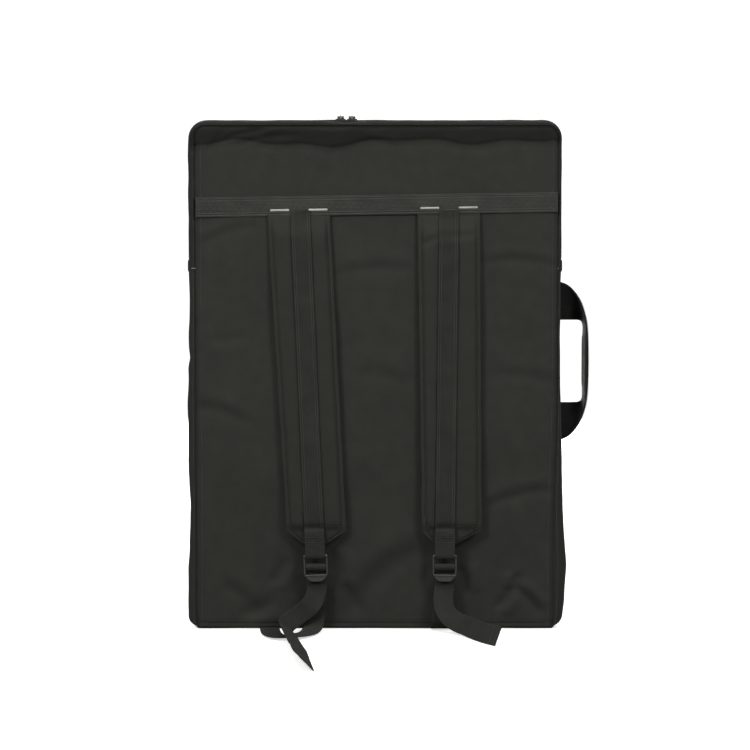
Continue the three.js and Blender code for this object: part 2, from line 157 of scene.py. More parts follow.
def curve_points(stops, per_stop):
    """Points on a centripetal curve through the stops, per_stop steps between each pair."""
    p = np.array(stops, float)
    around = np.vstack([2 * p[0] - p[1], p, 2 * p[-1] - p[-2]])
    found = []
    for k in range(len(p) - 1):
        a, b, c, d = around[k:k + 4]
        gaps = [float(np.sum((n - m) ** 2)) ** 0.25 for m, n in ((a, b), (b, c), (c, d))]
        g1 = gaps[1] if gaps[1] > 1e-4 else 1.0
        g0 = gaps[0] if gaps[0] > 1e-4 else g1
        g2 = gaps[2] if gaps[2] > 1e-4 else g1
        t1 = ((b - a) / g0 - (c - a) / (g0 + g1) + (c - b) / g1) * g1
        t2 = ((c - b) / g1 - (d - b) / (g1 + g2) + (d - c) / g2) * g1
        steps = per_stop + (1 if k == len(p) - 2 else 0)
        for i in range(steps):
            t = i / per_stop
            found.append(b + t1 * t + (3 * (c - b) - 2 * t1 - t2) * t**2 + (2 * (b - c) + t1 + t2) * t**3)
    return np.array(found)


# ------------------------------------------------------------------ mesh making
def tube_faces(rows, cols):
    """Quads of a tube through rows rings of cols points."""
    index = np.arange(rows * cols).reshape(rows, cols)
    wrapped = np.concatenate([index, index[:, :1]], axis=1)
    corners = [wrapped[:-1, :-1], wrapped[:-1, 1:], wrapped[1:, 1:], wrapped[1:, :-1]]
    return np.stack(corners, -1).reshape(-1, 4)


def tube_copies(count, rows, cols):
    """Faces of count closed tubes, each through rows rings of cols points."""
    size = rows * cols
    ends = np.stack([np.arange(cols)[::-1], np.arange(size - cols, size)])
    shift = (np.arange(count) * size)[:, None, None]
    return [(faces[None] + shift).reshape(-1, faces.shape[1]) for faces in (tube_faces(rows, cols), ends)]


class Piece:
    """Collects closed forms into one mesh, with cloth coordinates in metres and a material each."""

    def __init__(self, name):
        self.name = name
        self.points, self.cloth, self.faces, self.slots, self.materials = [], [], [], [], []
        self.count = 0

    def add(self, points, cloth, faces, material):
        """faces is a list of index arrays, each with faces of one length."""
        if material not in self.materials:
            self.materials.append(material)
        number = self.materials.index(material)
        points = np.asarray(points, float).reshape(-1, 3)
        volume = 0.0
        for group in faces:
            for k in range(1, group.shape[1] - 1):
                a, b, c = points[group[:, 0]], points[group[:, k]], points[group[:, k + 1]]
                volume += float(np.einsum("ij,ij->i", a, np.cross(b, c)).sum())
        for group in faces:
            turned = group[:, ::-1] if volume < 0 else group
            self.faces.extend((turned + self.count).tolist())
            self.slots.extend([number] * len(group))
        self.points.append(points)
        self.cloth.append(np.asarray(cloth, float).reshape(-1, 2))
        self.count += len(points)

    def rings(self, rings, material, cloth=None):
        """A closed form through rings of points; a ring runs out along one face and back along the other."""
        rings = np.asarray(rings, float)
        rows, cols = rings.shape[:2]
        k = np.arange(cols // 2 - 1)
        ladder = np.stack([k, cols - 1 - k, cols - 2 - k, k + 1], -1)
        faces = [tube_faces(rows, cols), ladder, ladder[:, ::-1] + (rows - 1) * cols]
        if cloth is None:
            cloth = laid(distances(rings[rows // 2]), distances(rings[:, 0]))
        self.add(rings, cloth, faces, material)

    def slab(self, outer, thickness, material, out=None):
        """A thin sheet: the grid outer, and the same grid moved inward by thickness."""
        outer = np.asarray(outer, float)
        if out is None:
            out = grid_normals(outer)
        self.rings(folded(outer, outer - out * thickness), material)

    def threads(self, middles, ahead, up, length, radius, material):
        """Stitches: short round threads that dive into the cloth at both ends."""
        middles, ahead, up = np.asarray(middles, float), unit(np.asarray(ahead, float)), np.asarray(up, float)
        up = unit(up - ahead * np.sum(up * ahead, axis=-1, keepdims=True))
        side = np.cross(ahead, up)
        where = np.array([-1, -0.72, 0, 0.72, 1]) * length / 2
        size = np.array([0.3, 0.85, 1, 0.85, 0.3]) * radius
        lift = (np.array([-1.5, 0.1, 0.45, 0.1, -1.5]) * 0.5 + 0.2) * radius
        rows, cols, count = len(where), 6, len(middles)
        angles = np.arange(cols) * TAU / cols
        line = middles[:, None] + ahead[:, None] * where[None, :, None] + up[:, None] * lift[None, :, None]
        ring = (side[:, None] * np.cos(angles)[None, :, None]
                + up[:, None] * np.sin(angles)[None, :, None])
        points = line[:, :, None] + ring[:, None] * size[None, :, None, None]
        cloth = np.zeros((count * rows * cols, 2))
        cloth[:, 0] = np.tile(np.repeat(where, cols), count) * MM
        cloth[:, 1] = np.repeat(np.arange(count), rows * cols) * 0.0013
        self.add(points, cloth, tube_copies(count, rows, cols), material)

    def row(self, line, up, material, pitch=3.2, length=2.5, radius=0.34):
        """A row of stitches along a line of points, with the cloth's outward direction at each."""
        line, up = np.asarray(line, float), np.broadcast_to(np.asarray(up, float), np.shape(line))
        far = distances(line)
        count = max(1, int(far[-1] / pitch))
        stops = (np.arange(count) + 0.5) * far[-1] / count
        ahead = sample(line, far, stops + 0.6) - sample(line, far, stops - 0.6)
        self.threads(sample(line, far, stops), ahead, sample(up, far, stops), length, radius, material)

    def make(self, sharp=50):
        mesh = bpy.data.meshes.new(self.name)
        points = np.concatenate(self.points) * MM
        mesh.from_pydata(points.tolist(), [], self.faces)
        for material in self.materials:
            mesh.materials.append(material)
        mesh.polygons.foreach_set("material_index", np.array(self.slots, np.int32))
        mesh.polygons.foreach_set("use_smooth", np.ones(len(self.slots), bool))
        attribute = mesh.attributes.new("cloth", "FLOAT_VECTOR", "POINT")
        flat = np.zeros((len(points), 3), np.float32)
        flat[:, :2] = np.concatenate(self.cloth)
        attribute.data.foreach_set("vector", flat.ravel())
        mesh.update()
        mesh.set_sharp_from_angle(angle=math.radians(sharp))
        made = bpy.data.objects.new(self.name, mesh)
        bpy.context.scene.collection.objects.link(made)
        return made


def finish(piece, slot, *nodes, body=None, sharp=50):
    """Make a piece, hide the CAD nodes it stands for, and put it on a body; the slot argument is not used."""
    made = piece.make(sharp)
    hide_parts(*nodes)
    if body:
        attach(made, body)
    return made


def grid_normals(grid):
    """Unit normals of a grid of points, on the side that faces away from the bag's middle."""
    across = np.gradient(grid, axis=1)
    along = np.gradient(grid, axis=0)
    found = unit(np.cross(across, along))
    middle = np.array([0, 0, 330.0])
    if np.sum((grid - middle) * found) < 0:
        found = -found
    return found


# ------------------------------------------------------------------ materials
class Recipe:
    """A Principled material, with short calls for the nodes that feed it."""

    def __init__(self, name):
        self.material = bpy.data.materials.new(name)
        self.material.use_nodes = True
        tree = self.material.node_tree
        tree.nodes.clear()
        self.nodes, self.links = tree.nodes, tree.links
        self.surface = self.nodes.new("ShaderNodeBsdfPrincipled")
        self.links.new(self.surface.outputs[0], self.nodes.new("ShaderNodeOutputMaterial").inputs[0])

    def node(self, kind, inputs=(), **settings):
        new = self.nodes.new("ShaderNode" + kind)
        for key, value in settings.items():
            setattr(new, key, value)
        for key, value in dict(inputs).items():
            if isinstance(value, bpy.types.NodeSocket):
                self.links.new(value, new.inputs[key])
            else:
                new.inputs[key].default_value = value
        return new

    def cloth(self):
        return self.node("Attribute", attribute_name="cloth").outputs["Vector"]

    def place(self):
        return self.node("TexCoord").outputs["Object"]

    def noise(self, where, scale, detail=2.0, roughness=0.5):
        inputs = {"Vector": where, "Scale": scale, "Detail": detail, "Roughness": roughness}
        return self.node("TexNoise", inputs).outputs["Fac"]

    def calc(self, operation, a, b=0.5):
        return self.node("Math", {0: a, 1: b}, operation=operation).outputs[0]

    def span(self, value, low, high, start=0.0, end=1.0):
        """A value that runs from start to end, turned into one from low to high."""
        inputs = {"Value": value, "From Min": start, "From Max": end, "To Min": low, "To Max": high}
        return self.node("MapRange", inputs).outputs[0]

    def waves(self, distance, pitch):
        return self.calc("MULTIPLY", distance, TAU / (pitch * MM))

    def feed(self, name, value):
        self.links.new(value, self.surface.inputs[name])

    def paint(self, value, color, clamped=False):
        """Base colour: the colour, darkened or brightened by a value."""
        mixed = self.node("Mix", {6: (0, 0, 0, 1), 7: (*color, 1)}, data_type="RGBA", clamp_factor=clamped)
        self.links.new(value, mixed.inputs[0])
        self.feed("Base Color", mixed.outputs[2])

    def bump(self, height, strength, distance):
        inputs = {"Strength": strength, "Distance": distance, "Height": height}
        self.feed("Normal", self.node("Bump", inputs).outputs[0])

    def level(self, name, value):
        self.surface.inputs[name].default_value = value


def woven(name, color, pitch=(0.55, 0.55), depth=0.12, rough=(0.72, 0.92), sheen=0.03, mottle=0.07,
          relief=0.25, twill=False):
    """Woven cloth: crossing threads, soft mottling, slubs and a little surface dust."""
    new = Recipe(name)
    cloth, place = new.cloth(), new.place()
    parts = new.node("SeparateXYZ", {0: cloth}).outputs
    warp, weft = new.waves(parts[0], pitch[0]), new.waves(parts[1], pitch[1])
    if twill:
        warp = new.calc("ADD", warp, weft)
    over = new.calc("MULTIPLY", new.calc("SINE", warp), new.calc("SINE", weft))
    threads = new.span(over, 0, 1, -1, 1)
    slub = new.noise(cloth, 900)
    cloud = new.noise(place, 14, 5, 0.6)
    both = new.calc("ADD", cloud, new.noise(place, 60, 3))
    shade = new.span(both, 1 - mottle, 1 + mottle, 0.7, 1.3)
    shade = new.calc("MULTIPLY", shade, new.span(slub, 0.86, 1.14))
    new.paint(new.calc("MULTIPLY", shade, new.span(threads, 1 - depth, 1 + depth)), color)
    new.feed("Roughness", new.span(cloud, *rough, 0.3, 0.7))
    new.bump(new.calc("ADD", threads, new.calc("MULTIPLY", slub, 0.6)), relief, 0.0003)
    new.level("Sheen Weight", sheen)
    new.level("Sheen Roughness", 0.45)
    new.level("Specular IOR Level", 0.16)
    return new.material


def ribbed(name, color, rib=1.5, pick=1.1, relief=0.7, rough=(0.6, 0.8), depth=0.22):
    """Narrow webbing: raised cords along its length, broken by the crossing yarn in a brick pattern."""
    new = Recipe(name)
    cloth, place = new.cloth(), new.place()
    parts = new.node("SeparateXYZ", {0: cloth}).outputs
    across, along = new.waves(parts[0], rib), new.waves(parts[1], pick)
    offset = new.calc("MULTIPLY", new.calc("SINE", new.calc("MULTIPLY", across, 0.5)), 1.4)
    cords = new.calc("MULTIPLY", new.calc("COSINE", across), 0.5)
    picks = new.calc("MULTIPLY", new.calc("SINE", new.calc("ADD", along, offset)), 0.5)
    raised = new.calc("ADD", cords, picks)
    fuzz = new.noise(cloth, 1500)
    bright = new.span(raised, 1 - depth, 1 + depth, -1, 1)
    patch = new.span(new.noise(place, 45, 4), 0.85, 1.15, 0.3, 0.7)
    new.paint(new.calc("MULTIPLY", bright, patch), color)
    new.feed("Roughness", new.span(fuzz, *rough))
    new.bump(new.calc("ADD", raised, new.calc("MULTIPLY", fuzz, 0.4)), relief, 0.00035)
    new.level("Sheen Weight", 0.03)
    new.level("Specular IOR Level", 0.2)
    return new.material


def grained(name, color, rough, relief, scale, metallic=0.0, spread=0.12, coat=0.0):
    """Moulded or cast: fine grain, handling marks in the gloss, and worn lighter patches."""
    new = Recipe(name)
    place = new.place()
    wear = new.noise(place, 120, 5, 0.65)
    new.paint(new.span(wear, 1 - spread, 1 + spread, 0.3, 0.75), color)
    new.feed("Roughness", new.span(wear, *rough, 0.3, 0.7))
    new.bump(new.noise(place, scale, 3), relief, 0.0002)
    new.level("Metallic", metallic)
    new.level("Coat Weight", coat)
    return new.material


SHELL_COLOR = (0.0300, 0.0307, 0.0262)
SHELL = woven("shell_fabric", SHELL_COLOR, mottle=0.1)
SHELL_DARK = woven("gusset_fabric", tuple(0.84 * c for c in SHELL_COLOR))
# the zip roll's darker cloth; the same colour is also laid above the loose fold on the carrying side as
# painted shade
RIM_CLOTH_AND_SHADE = woven("rim_fabric_and_painted_shade", (0.0212, 0.0213, 0.0203))
STRAP = woven("strap_fabric", (0.0280, 0.0288, 0.0238), mottle=0.06)
LINING = woven("lining_fabric", (0.018, 0.018, 0.017), pitch=(0.3, 0.3), rough=(0.45, 0.65), sheen=0.05)
BAND_WEB = ribbed("band_webbing", (0.040, 0.041, 0.0355), rib=1.7, pick=1.3, depth=0.36)
WEB = ribbed("webbing", (0.0240, 0.0245, 0.0205), depth=0.3)
HANDLE_WEB = ribbed("handle_webbing", (0.0075, 0.0075, 0.0072), rib=2.0, pick=1.5, relief=0.6)
TAPE = woven("zip_tape", (0.021, 0.021, 0.02), pitch=(0.8, 0.6), relief=0.4, twill=True)
COIL = grained("zip_coil", (0.022, 0.022, 0.021), (0.35, 0.5), 0.15, 3000.0)
GRIP = woven("grip_fabric", (0.032, 0.032, 0.032), pitch=(0.7, 0.7), mottle=0.1)
THREAD = woven("dark_thread", (0.072, 0.073, 0.064), pitch=(0.5, 0.9), relief=0.5, mottle=0.2)
BAND_THREAD = woven("band_thread", (0.115, 0.117, 0.103), pitch=(0.5, 0.9), relief=0.5, mottle=0.3)
BLACK_THREAD = woven("black_thread", (0.02, 0.02, 0.019), pitch=(0.5, 0.9), relief=0.5, mottle=0.2)
PALE_THREAD = woven("pale_thread", (0.50, 0.50, 0.46), pitch=(0.5, 0.9), relief=0.5, mottle=0.18, sheen=0.2)
BUCKLE = grained("buckle_plastic", (0.046, 0.047, 0.040), (0.16, 0.28), 0.1, 2600.0, coat=0.35)
NICKEL = grained("nickel", (0.42, 0.41, 0.39), (0.16, 0.3), 0.06, 1800.0, metallic=1.0, spread=0.06)


# ------------------------------------------------------------------ cords: the adjuster webbings
def on_strap(x, y, z):
    """A point in a strap's own frame, hinged at the band, in the row frame."""
    x, y, z = np.broadcast_arrays(x, y, z)
    c, s = math.cos(-PAD_TILT), math.sin(-PAD_TILT)
    return np.stack([x + 0.0, y * c - z * s + PIVOT_Y, y * s + z * c + PIVOT_Z], -1)


def web_at(strap, z):
    return strap["web_top"] + (strap["web_bottom"] - strap["web_top"]) * z / BUCKLE_FOOT


def ribbon(piece, stops, width, thickness, per_stop, material, columns=12):
    """Flat webbing along stops, each a point and a width direction. Gives its middle line and frame."""
    stops = np.array(stops, float)
    line = curve_points(stops[:, :3], per_stop)
    side = curve_points(stops[:, 3:], per_stop)
    ahead = unit(np.gradient(line, axis=0))
    side = unit(side - ahead * np.sum(side * ahead, axis=1, keepdims=True))
    up = unit(np.cross(ahead, side))
    s = np.cos(np.linspace(0, math.pi, columns))
    # a woven edge is a little thicker than the middle, and rounded
    half = thickness / 2 * (0.9 + 0.25 * np.abs(s) ** 6) * np.sqrt(np.clip(1.02 - np.abs(s) ** 14, 0, 1))
    half[0] = half[-1] = thickness * 0.2
    flat = line[:, None] + side[:, None] * (s * width / 2)[None, :, None]
    rise = up[:, None] * half[None, :, None]
    cloth = laid(np.concatenate([s, s[::-1]]) * width / 2, distances(line))
    piece.rings(folded(flat + rise, flat - rise), material, cloth=cloth)
    return line, side, up


def buckle_stops(strap, width_sign):
    stops = [
        (-1, -478), (-1, -466), (-1, -455), (-1.8, -449.4), (-3.6, -446.2), (-6, -445.3),
        (-8.3, -446.5), (-9.1, -449), (-8.3, -451.6), (-6, -453.4), (-3.7, -454.9),
        (-2.9, -458.5), (-2.9, -468), (-3.1, -476),
    ]
    return [[*on_strap(web_at(strap, z), y, z), width_sign, 0, 0] for y, z in stops]


ADJUSTERS = {
    "left": {
        "width_sign": -1,
        "length": 0.570,
        "anchored": [
            [-136, -23.6, 1.6, 1, 0, 0],
            [-134, -46, 1.8, 0.97, 0.2, 0],
            [-129, -74, 2.2, 0.9, 0.42, 0],
            [-118, -94, 3, 0.5, 0.86, -0.05],
            [-103, -92, 3.6, -0.3, 0.95, -0.05],
            [-91, -77, 3, -0.75, 0.66, 0],
            [-83, -58, 3, -0.95, 0.3, 0],
            [-79, -43, 8, -1, 0.05, 0],
            [-77, -36.5, 22, -1, 0, 0],
            [-76, -35.6, 38, -1, 0, 0],
        ],
        "tail": [
            [-77, -41.5, 44, -0.97, 0, 0.2],
            [-84, -45, 33, -0.85, 0.05, 0.5],
            [-95, -45, 24, -0.7, 0.1, 0.7],
            [-106, -48, 17, -0.6, 0.1, 0.8],
            [-112, -62, 14, -0.6, 0, 0.8],
            [-112, -82, 14.5, -0.7, 0, 0.71],
            [-109.5, -104, 15, -0.8, 0, 0.6],
            [-104, -130, 11, -0.83, 0, 0.55],
            [-98, -160, 8.4, -0.85, 0, 0.52],
            [-92, -198, 7.6, -0.85, 0, 0.52],
            [-86.5, -245, 8, -0.82, 0, 0.57],
            [-79, -297, 9.8, -0.68, 0, 0.73],
        ],
    },
    "right": {
        "width_sign": 1,
        "length": 0.280,
        "anchored": [
            [84, -23.6, 1.8, 1, 0, 0],
            [84.4, -33, 3.4, 1, 0, 0],
            [85, -39.5, 11, 1, 0, 0],
            [86.4, -38.5, 24, 1, 0, 0],
            [87.8, -36, 40, 1, 0, 0],
        ],
        "tail": [
            [87.5, -42, 44, 0.98, 0.1, 0.15],
            [88.5, -47, 32, 0.85, 0.2, 0.5],
            [94, -52, 22.5, 0.6, 0.3, 0.75],
            [103, -60, 16.5, 0.42, 0.3, 0.86],
            [115, -76, 13.8, 0.35, 0.28, 0.9],
            [128, -101, 12.4, 0.33, 0.28, 0.9],
            [140, -124, 12.3, 0.33, 0.28, 0.9],
            [152, -141, 12.3, 0.33, 0.28, 0.9],
        ],
    },
}


def make_adjuster(side):
    facts, strap = ADJUSTERS[side], STRAPS[side]
    route = facts["anchored"] + buckle_stops(strap, facts["width_sign"]) + facts["tail"]
    piece = Piece(f"adjuster_{side}")
    line, across, up = ribbon(piece, route, WEBBING_WIDTH, WEBBING, 6, WEB)
    far = distances(line)
    print("adjuster", side, "length", round(far[-1], 1))
    # the tail's end is folded once and sewn across twice
    for back in (4.0, 12.0):
        middle, w, n = [sample(values, far, far[-1] - back) for values in (line, across, up)]
        w, n = unit(w), unit(n)
        for face in (1, -1):
            ends = [middle + w * s * 11 + n * face * (WEBBING / 2) for s in np.linspace(-1, 1, 9)]
            piece.row(ends, n * face, THREAD, pitch=2.6, length=2.1)
    made = finish(piece, "webbing", f"adjuster_webbing_{side}")
    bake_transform(made)


for side_name in STRAPS:
    make_adjuster(side_name)


# ------------------------------------------------------------------ panels
TOP_FOLD = 623.0  # height of the fold under the zip roll
TOP_LEAN = 11.0  # how far the cloth leans out from there to the roll
HALF_PANEL = 229.9
PANEL_TOP = SEAM_TOP - 0.4
PANEL_FOOT = 1.3

# creases: end, end, half width, depth
BACK_CREASES = [
    ((-225, 495), (-145, 521), 7, 1.1),
    ((-236, 290), (-160, 266), 8, 1.2),
    ((139, 156), (229, 181), 8, 1.5),
    ((-52, 457), (51, 463), 8, 1.0),
    ((139, 473), (229, 468), 7, 1.1),
    ((-42, 14), (62, 110), 15, 2.4),
    ((178, 56), (157, 26), 7, 2.6),
    ((180, 52), (214, 20), 7, 2.6),
    ((181, 50), (184, 72), 6, 1.8),
    ((-207, 622), (-136, 641), 4, 1.3),
    ((-180, 620), (-95, 634), 4, 1.1),
    ((-216, 610), (-190, 640), 4, 1.0),
    ((-20, 628), (30, 620), 4, 1.0),
    ((-200, 60), (-150, 20), 10, 1.3),
    ((-160, 380), (-215, 372), 8, 0.8),
    ((150, 330), (222, 318), 8, 0.8),
    ((-30, 330), (44, 322), 9, 0.7),
    ((120, 95), (150, 150), 9, 1.1),
    ((-52, 104), (-50, 58), 8, 2.4),
    ((-114, 92), (-134, 58), 8, 2.0),
    ((64, 106), (67, 56), 8, 2.2),
    ((108, 82), (118, 44), 8, 2.2),
    ((-128, 36), (-176, 18), 9, 1.6),
    ((-45, 60), (-20, 22), 9, 1.6),
]


FRONT_CREASES = [
    ((-220, 470), (-120, 452), 9, 1.4),
    ((130, 120), (222, 150), 9, 1.5),
    ((-60, 40), (40, 96), 12, 1.6),
    ((-222, 210), (-150, 180), 8, 1.3),
    ((120, 455), (222, 470), 9, 1.3),
    ((-205, 30), (-150, 70), 9, 1.6),
    ((60, 560), (150, 585), 10, 1.1),
    ((-190, 618), (-110, 600), 7, 1.1),
]


def creases(x, z, rows):
    """Valleys with a soft ridge above each, fading out at their ends."""
    total = np.zeros(np.shape(x))
    for (x1, z1), (x2, z2), width, depth in rows:
        dx, dz = x2 - x1, z2 - z1
        length = math.hypot(dx, dz)
        along = ((x - x1) * dx + (z - z1) * dz) / length**2
        off = ((x - x1) * -dz + (z - z1) * dx) / length
        bow = 0.06 * length * np.sin(np.clip(along, 0, 1) * math.pi)
        off = off - bow
        fade = smooth(np.minimum(along + 0.12, 1.12 - along) / 0.35)
        total += 1.25 * depth * fade * (0.75 * bump(off - 1.5 * width, 1.3 * width) - bump(off, width))
    return total


def lean_right(x, z):
    """How far the carrying side's cloth is pulled over towards the handle side, near its edge."""
    return 4.6 * smooth((x - 120) / 100) * smooth((z - 120) / 190) * smooth((z - 1) / 60)


def seam_edge(x, z):
    """How far a point on a panel is inside the panel's own edge."""
    side = HALF_PANEL - np.abs(x)
    top = PANEL_TOP - z
    corner = SEAM_RADIUS - np.hypot(np.maximum(SEAM_RADIUS - side, 0), np.maximum(SEAM_RADIUS - top, 0))
    return np.where((side < SEAM_RADIUS) & (top < SEAM_RADIUS), corner, np.minimum(side, top))


def hem(z):
    """How far the cloth is drawn in at its lower edge, and at the stitches above it."""
    low = z - PANEL_FOOT
    return 1.7 * bump(low - 6.2, 1.9) + 1.8 * bump(low, 1.6)


def back_relief(x, z):
    """How far the carrying side's cloth stands out, in the plane's own coordinates."""
    inside = seam_edge(x, z)
    out = 2.6 * bump(z - 205, 150) * (1 - (x / 240) ** 4)
    out = out + 1.2 * swell(x, z, 260, 3) + 0.6 * swell(x, z, 105, 5) + 0.16 * swell(x, z, 42, 8)
    out = out * smooth(inside / 40) * (1 - 0.7 * bump(z - BAND_MIDDLE, 34))
    out = out + creases(x, z, BACK_CREASES) * (1 - bump(z - BAND_MIDDLE, 22))
    fold = top_fold(x)
    above = np.clip((z - fold) / 22, 0, 1) * smooth((z - fold) / 6)
    out = out + TOP_LEAN * above - 1.0 * bump(z - fold + 3, 5.0)
    wrinkles = np.sin(x / 7.5 - z / 6 + 1.5 * np.sin(x / 23)) * (0.35 + 0.65 * bump(x + 165, 60))
    out = out + 0.8 * smooth((z - fold + 6) / 10) * wrinkles * smooth(inside / 6)
    pucker = 0.16 * np.sin(z / 3.1 + 2 * np.sin(z / 41)) * bump(HALF_PANEL - np.abs(x) - 7, 5)
    out = out + pucker
    out = out - (4.4 - 3.4 * above) * bump(inside, 3.0)
    return out - hem(z)


def front_relief(x, z):
    inside = seam_edge(x, z)
    out = 1.6 * bump(z - 300, 210) * (1 - (x / 240) ** 4)
    out = out + 1.0 * swell(x, z, 240, 13) + 0.4 * swell(x, z, 90, 15) + 0.13 * swell(x, z, 40, 18)
    out = out * smooth(inside / 40)
    out = out + creases(x, z, FRONT_CREASES)
    out = out - 2.5 * bump(inside, 2.6)
    return out - hem(z)


def foot_inset(z):
    """How far the side seams turn in at the round bottom corners."""
    low = np.clip(7 - z, 0, 6.2)
    return 7 - np.sqrt(49 - low**2)


def top_fold(x):
    """Height of the loose fold under the zip roll."""
    return TOP_FOLD + 3.2 * np.sin(x / 31 + 0.6) + 2.2 * np.sin(x / 13.5 + 2) + 2.0 * np.sin(x / 71)


def panel_grid(step):
    """X and Z of a panel's grid, with finer rows round the top corners and under the roll."""
    z = np.linspace(PANEL_FOOT, PANEL_TOP, int(642 / step))
    corner = PANEL_TOP - SEAM_RADIUS * (1 - np.sin(np.linspace(0, math.pi / 2, 13)))
    fold = np.arange(610, corner[0] - 0.5, step / 2)
    z = np.unique(np.concatenate([z[z < 609], [2.2, 3.4], fold, corner]))
    top = np.clip(z - (PANEL_TOP - SEAM_RADIUS), 0, SEAM_RADIUS)
    half = HALF_PANEL - (SEAM_RADIUS - np.sqrt(SEAM_RADIUS**2 - top**2)) - foot_inset(z)
    s = np.linspace(-1, 1, int(460 / step))
    return half[:, None] * s[None, :], np.broadcast_to(z[:, None], (len(z), len(s)))


def make_panel(name, sign, relief, step, nodes):
    piece = Piece(name)
    x, z = panel_grid(step)

    def on_panel(x, z, rise=0.0):
        pull = lean_right(x, z) if sign < 0 else 0 * x
        return np.stack([x + pull, sign * (HALF_DEPTH + relief(x, z) + rise), z], -1)

    outer = on_panel(x, z)
    inner_y = sign * (HALF_DEPTH - 6.0 + 0.5 * relief(x, z) + 0.4 * swell(x, z, 60, 21))
    inner = np.stack([outer[..., 0] * (1 - 0.8 / 230), inner_y, z], -1)
    flat = np.stack([x, z], -1)
    piece.rings(folded(outer, inner), SHELL, cloth=folded(flat, flat) * MM)
    # the inside of the panel is lining; above the loose fold under the zip the cloth takes the rim's darker
    # colour, a painted shade under the roll
    piece.materials += [LINING, RIM_CLOTH_AND_SHADE] if sign < 0 else [LINING]
    cols, ring, slots = x.shape[1], 2 * x.shape[1], {"lining": 1, "painted_shade": 2}
    for number, face in enumerate(piece.faces):
        inside = [v % ring >= cols for v in face]
        if all(inside):
            piece.slots[number] = slots["lining"]
        elif sign < 0 and not any(inside):
            spots = [flat[v // ring, v % ring] for v in face]
            # faces above the fold take the darker rim colour as painted shade
            if min(spot[1] - top_fold(spot[0]) for spot in spots) > 2:
                piece.slots[number] = slots["painted_shade"]
    for edge in (-1, 1):
        line_z = np.arange(14, 632, 1.5)
        line_x = np.full(len(line_z), edge * (HALF_PANEL - 7.2))
        piece.row(on_panel(line_x, line_z, 0.2), (0, sign, 0), THREAD, radius=0.3)
    line_x = np.arange(-216, 216.1, 1.5)
    piece.row(on_panel(line_x, np.full(len(line_x), 10.5), 0.2), (0, sign, 0), THREAD, radius=0.3)
    made = finish(piece, "shell_fabric", *nodes)
    return made


def make_panels():
    back = make_panel("back_cloth", -1, back_relief, 2.6,
                      ["back_panel", "back_panel_foam", "back_panel_lining"])
    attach(back, "case")
    layers = ("", "_foam", "_lining")
    parts = [f"front_panel_{half}{layer}" for half in ("lower", "upper") for layer in layers]
    front = make_panel("front_cloth", 1, front_relief, 4.0, parts)
    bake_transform(front)


make_panels()


# ------------------------------------------------------------------ gussets
def section(depths):
    """Distance out from the seam at each depth, with the edge turned in to the seam."""
    depths = np.asarray(depths, float)
    out = BULGE * np.sqrt(np.clip(1 - np.abs(depths / HALF_DEPTH) ** 3, 0, 1))
    tucked = np.sign(depths) * (np.abs(depths) - 4.2 * bump(out, 2.0))
    return out, tucked


def full_depths(steps=34):
    turn = np.linspace(0, math.pi, steps)
    return HALF_DEPTH * np.sign(np.cos(turn)) * np.abs(np.cos(turn)) ** (2 / 3)


# how far each side stands out beyond its drawn line, by height: the case sags and spreads at its foot
SIDE_SAG = {
    "left": ([1, 10, 80, 113, 160, 216, 280, 338, 350, 362, 420, 465],
             [-1.0, 2.6, 2.2, 0.7, -0.9, 1.4, 2.1, 0.8, -1.3, 0.2, -0.8, -1.2]),
    "right": ([1, 10, 35, 60, 81, 113, 160, 216, 270, 350, 465],
              [-1.0, 3.0, 5.8, 7.3, 7.8, 6.3, 3.4, 1.9, 0.4, -1.4, -1.4]),
}


def make_side(side, sign):
    piece = Piece(f"side_{side}")
    z = np.concatenate([[PANEL_FOOT, 2.2, 3.4, 5, 7, 10], np.arange(14, ZIP_END, 3.4), [ZIP_END]])
    share = np.interp(z, [1.5, 4, 7, 14], [0.1, 0.5, 0.8, 1])
    out, tucked = section(full_depths())
    wave = 0.4 * swell(z, 0 * z, 90, 31 + sign) + 0.2 * swell(z, 0 * z, 37, 41 + sign)
    wave = (wave * smooth(z / 30) + np.interp(z, *SIDE_SAG[side])) * smooth((ZIP_END - z) / 30)
    middle = out / BULGE
    crush = 0.35 * swell(z[:, None], 3 * tucked[None, :], 42, 51 + sign) * middle[None, :]
    reach = out[None, :] * share[:, None] + wave[:, None] * middle[None, :] + crush
    near = smooth((-tucked - 9) / 11)[None, :] * (1 - middle)[None, :]
    if sign > 0:
        reach = reach + lean_right(SEAM_X + 0 * reach, z[:, None]) * near
    grid = np.stack([sign * (SEAM_X - foot_inset(z)[:, None] + reach), np.broadcast_to(tucked, reach.shape),
                     np.broadcast_to(z[:, None], reach.shape)], -1)
    piece.slab(grid, CLOTH, SHELL_DARK)
    normals = grid_normals(grid)
    for column in (3, len(tucked) - 4):
        piece.row(grid[4:-2, column], normals[4:-2, column], THREAD, radius=0.28)
    finish(piece, "shell_fabric", f"side_gusset_{side}", body="case")


def zip_way(end, step=3.4):
    """Points, outward directions and distances of the seam that the zip follows, from end to end."""
    rows = []
    corner = SEAM_TOP - SEAM_RADIUS
    for z in np.arange(end, corner, step):
        rows.append((-SEAM_X, z, -1, 0))
    for sign in (-1, 1):
        for k in range(13):
            turn = math.pi / 2 * (1 - k / 12 if sign < 0 else k / 12)
            a, b = sign * math.sin(turn), math.cos(turn)
            rows.append((sign * (SEAM_X - SEAM_RADIUS) + a * SEAM_RADIUS, corner + b * SEAM_RADIUS, a, b))
        if sign < 0:
            for x in np.arange(-(SEAM_X - SEAM_RADIUS) + step, SEAM_X - SEAM_RADIUS - 1, step):
                rows.append((x, SEAM_TOP, 0, 1))
    for z in np.arange(end, corner, step)[::-1]:
        rows.append((SEAM_X, z, 1, 0))
    rows = np.array(rows, float)
    return rows, distances(rows[:, :2])


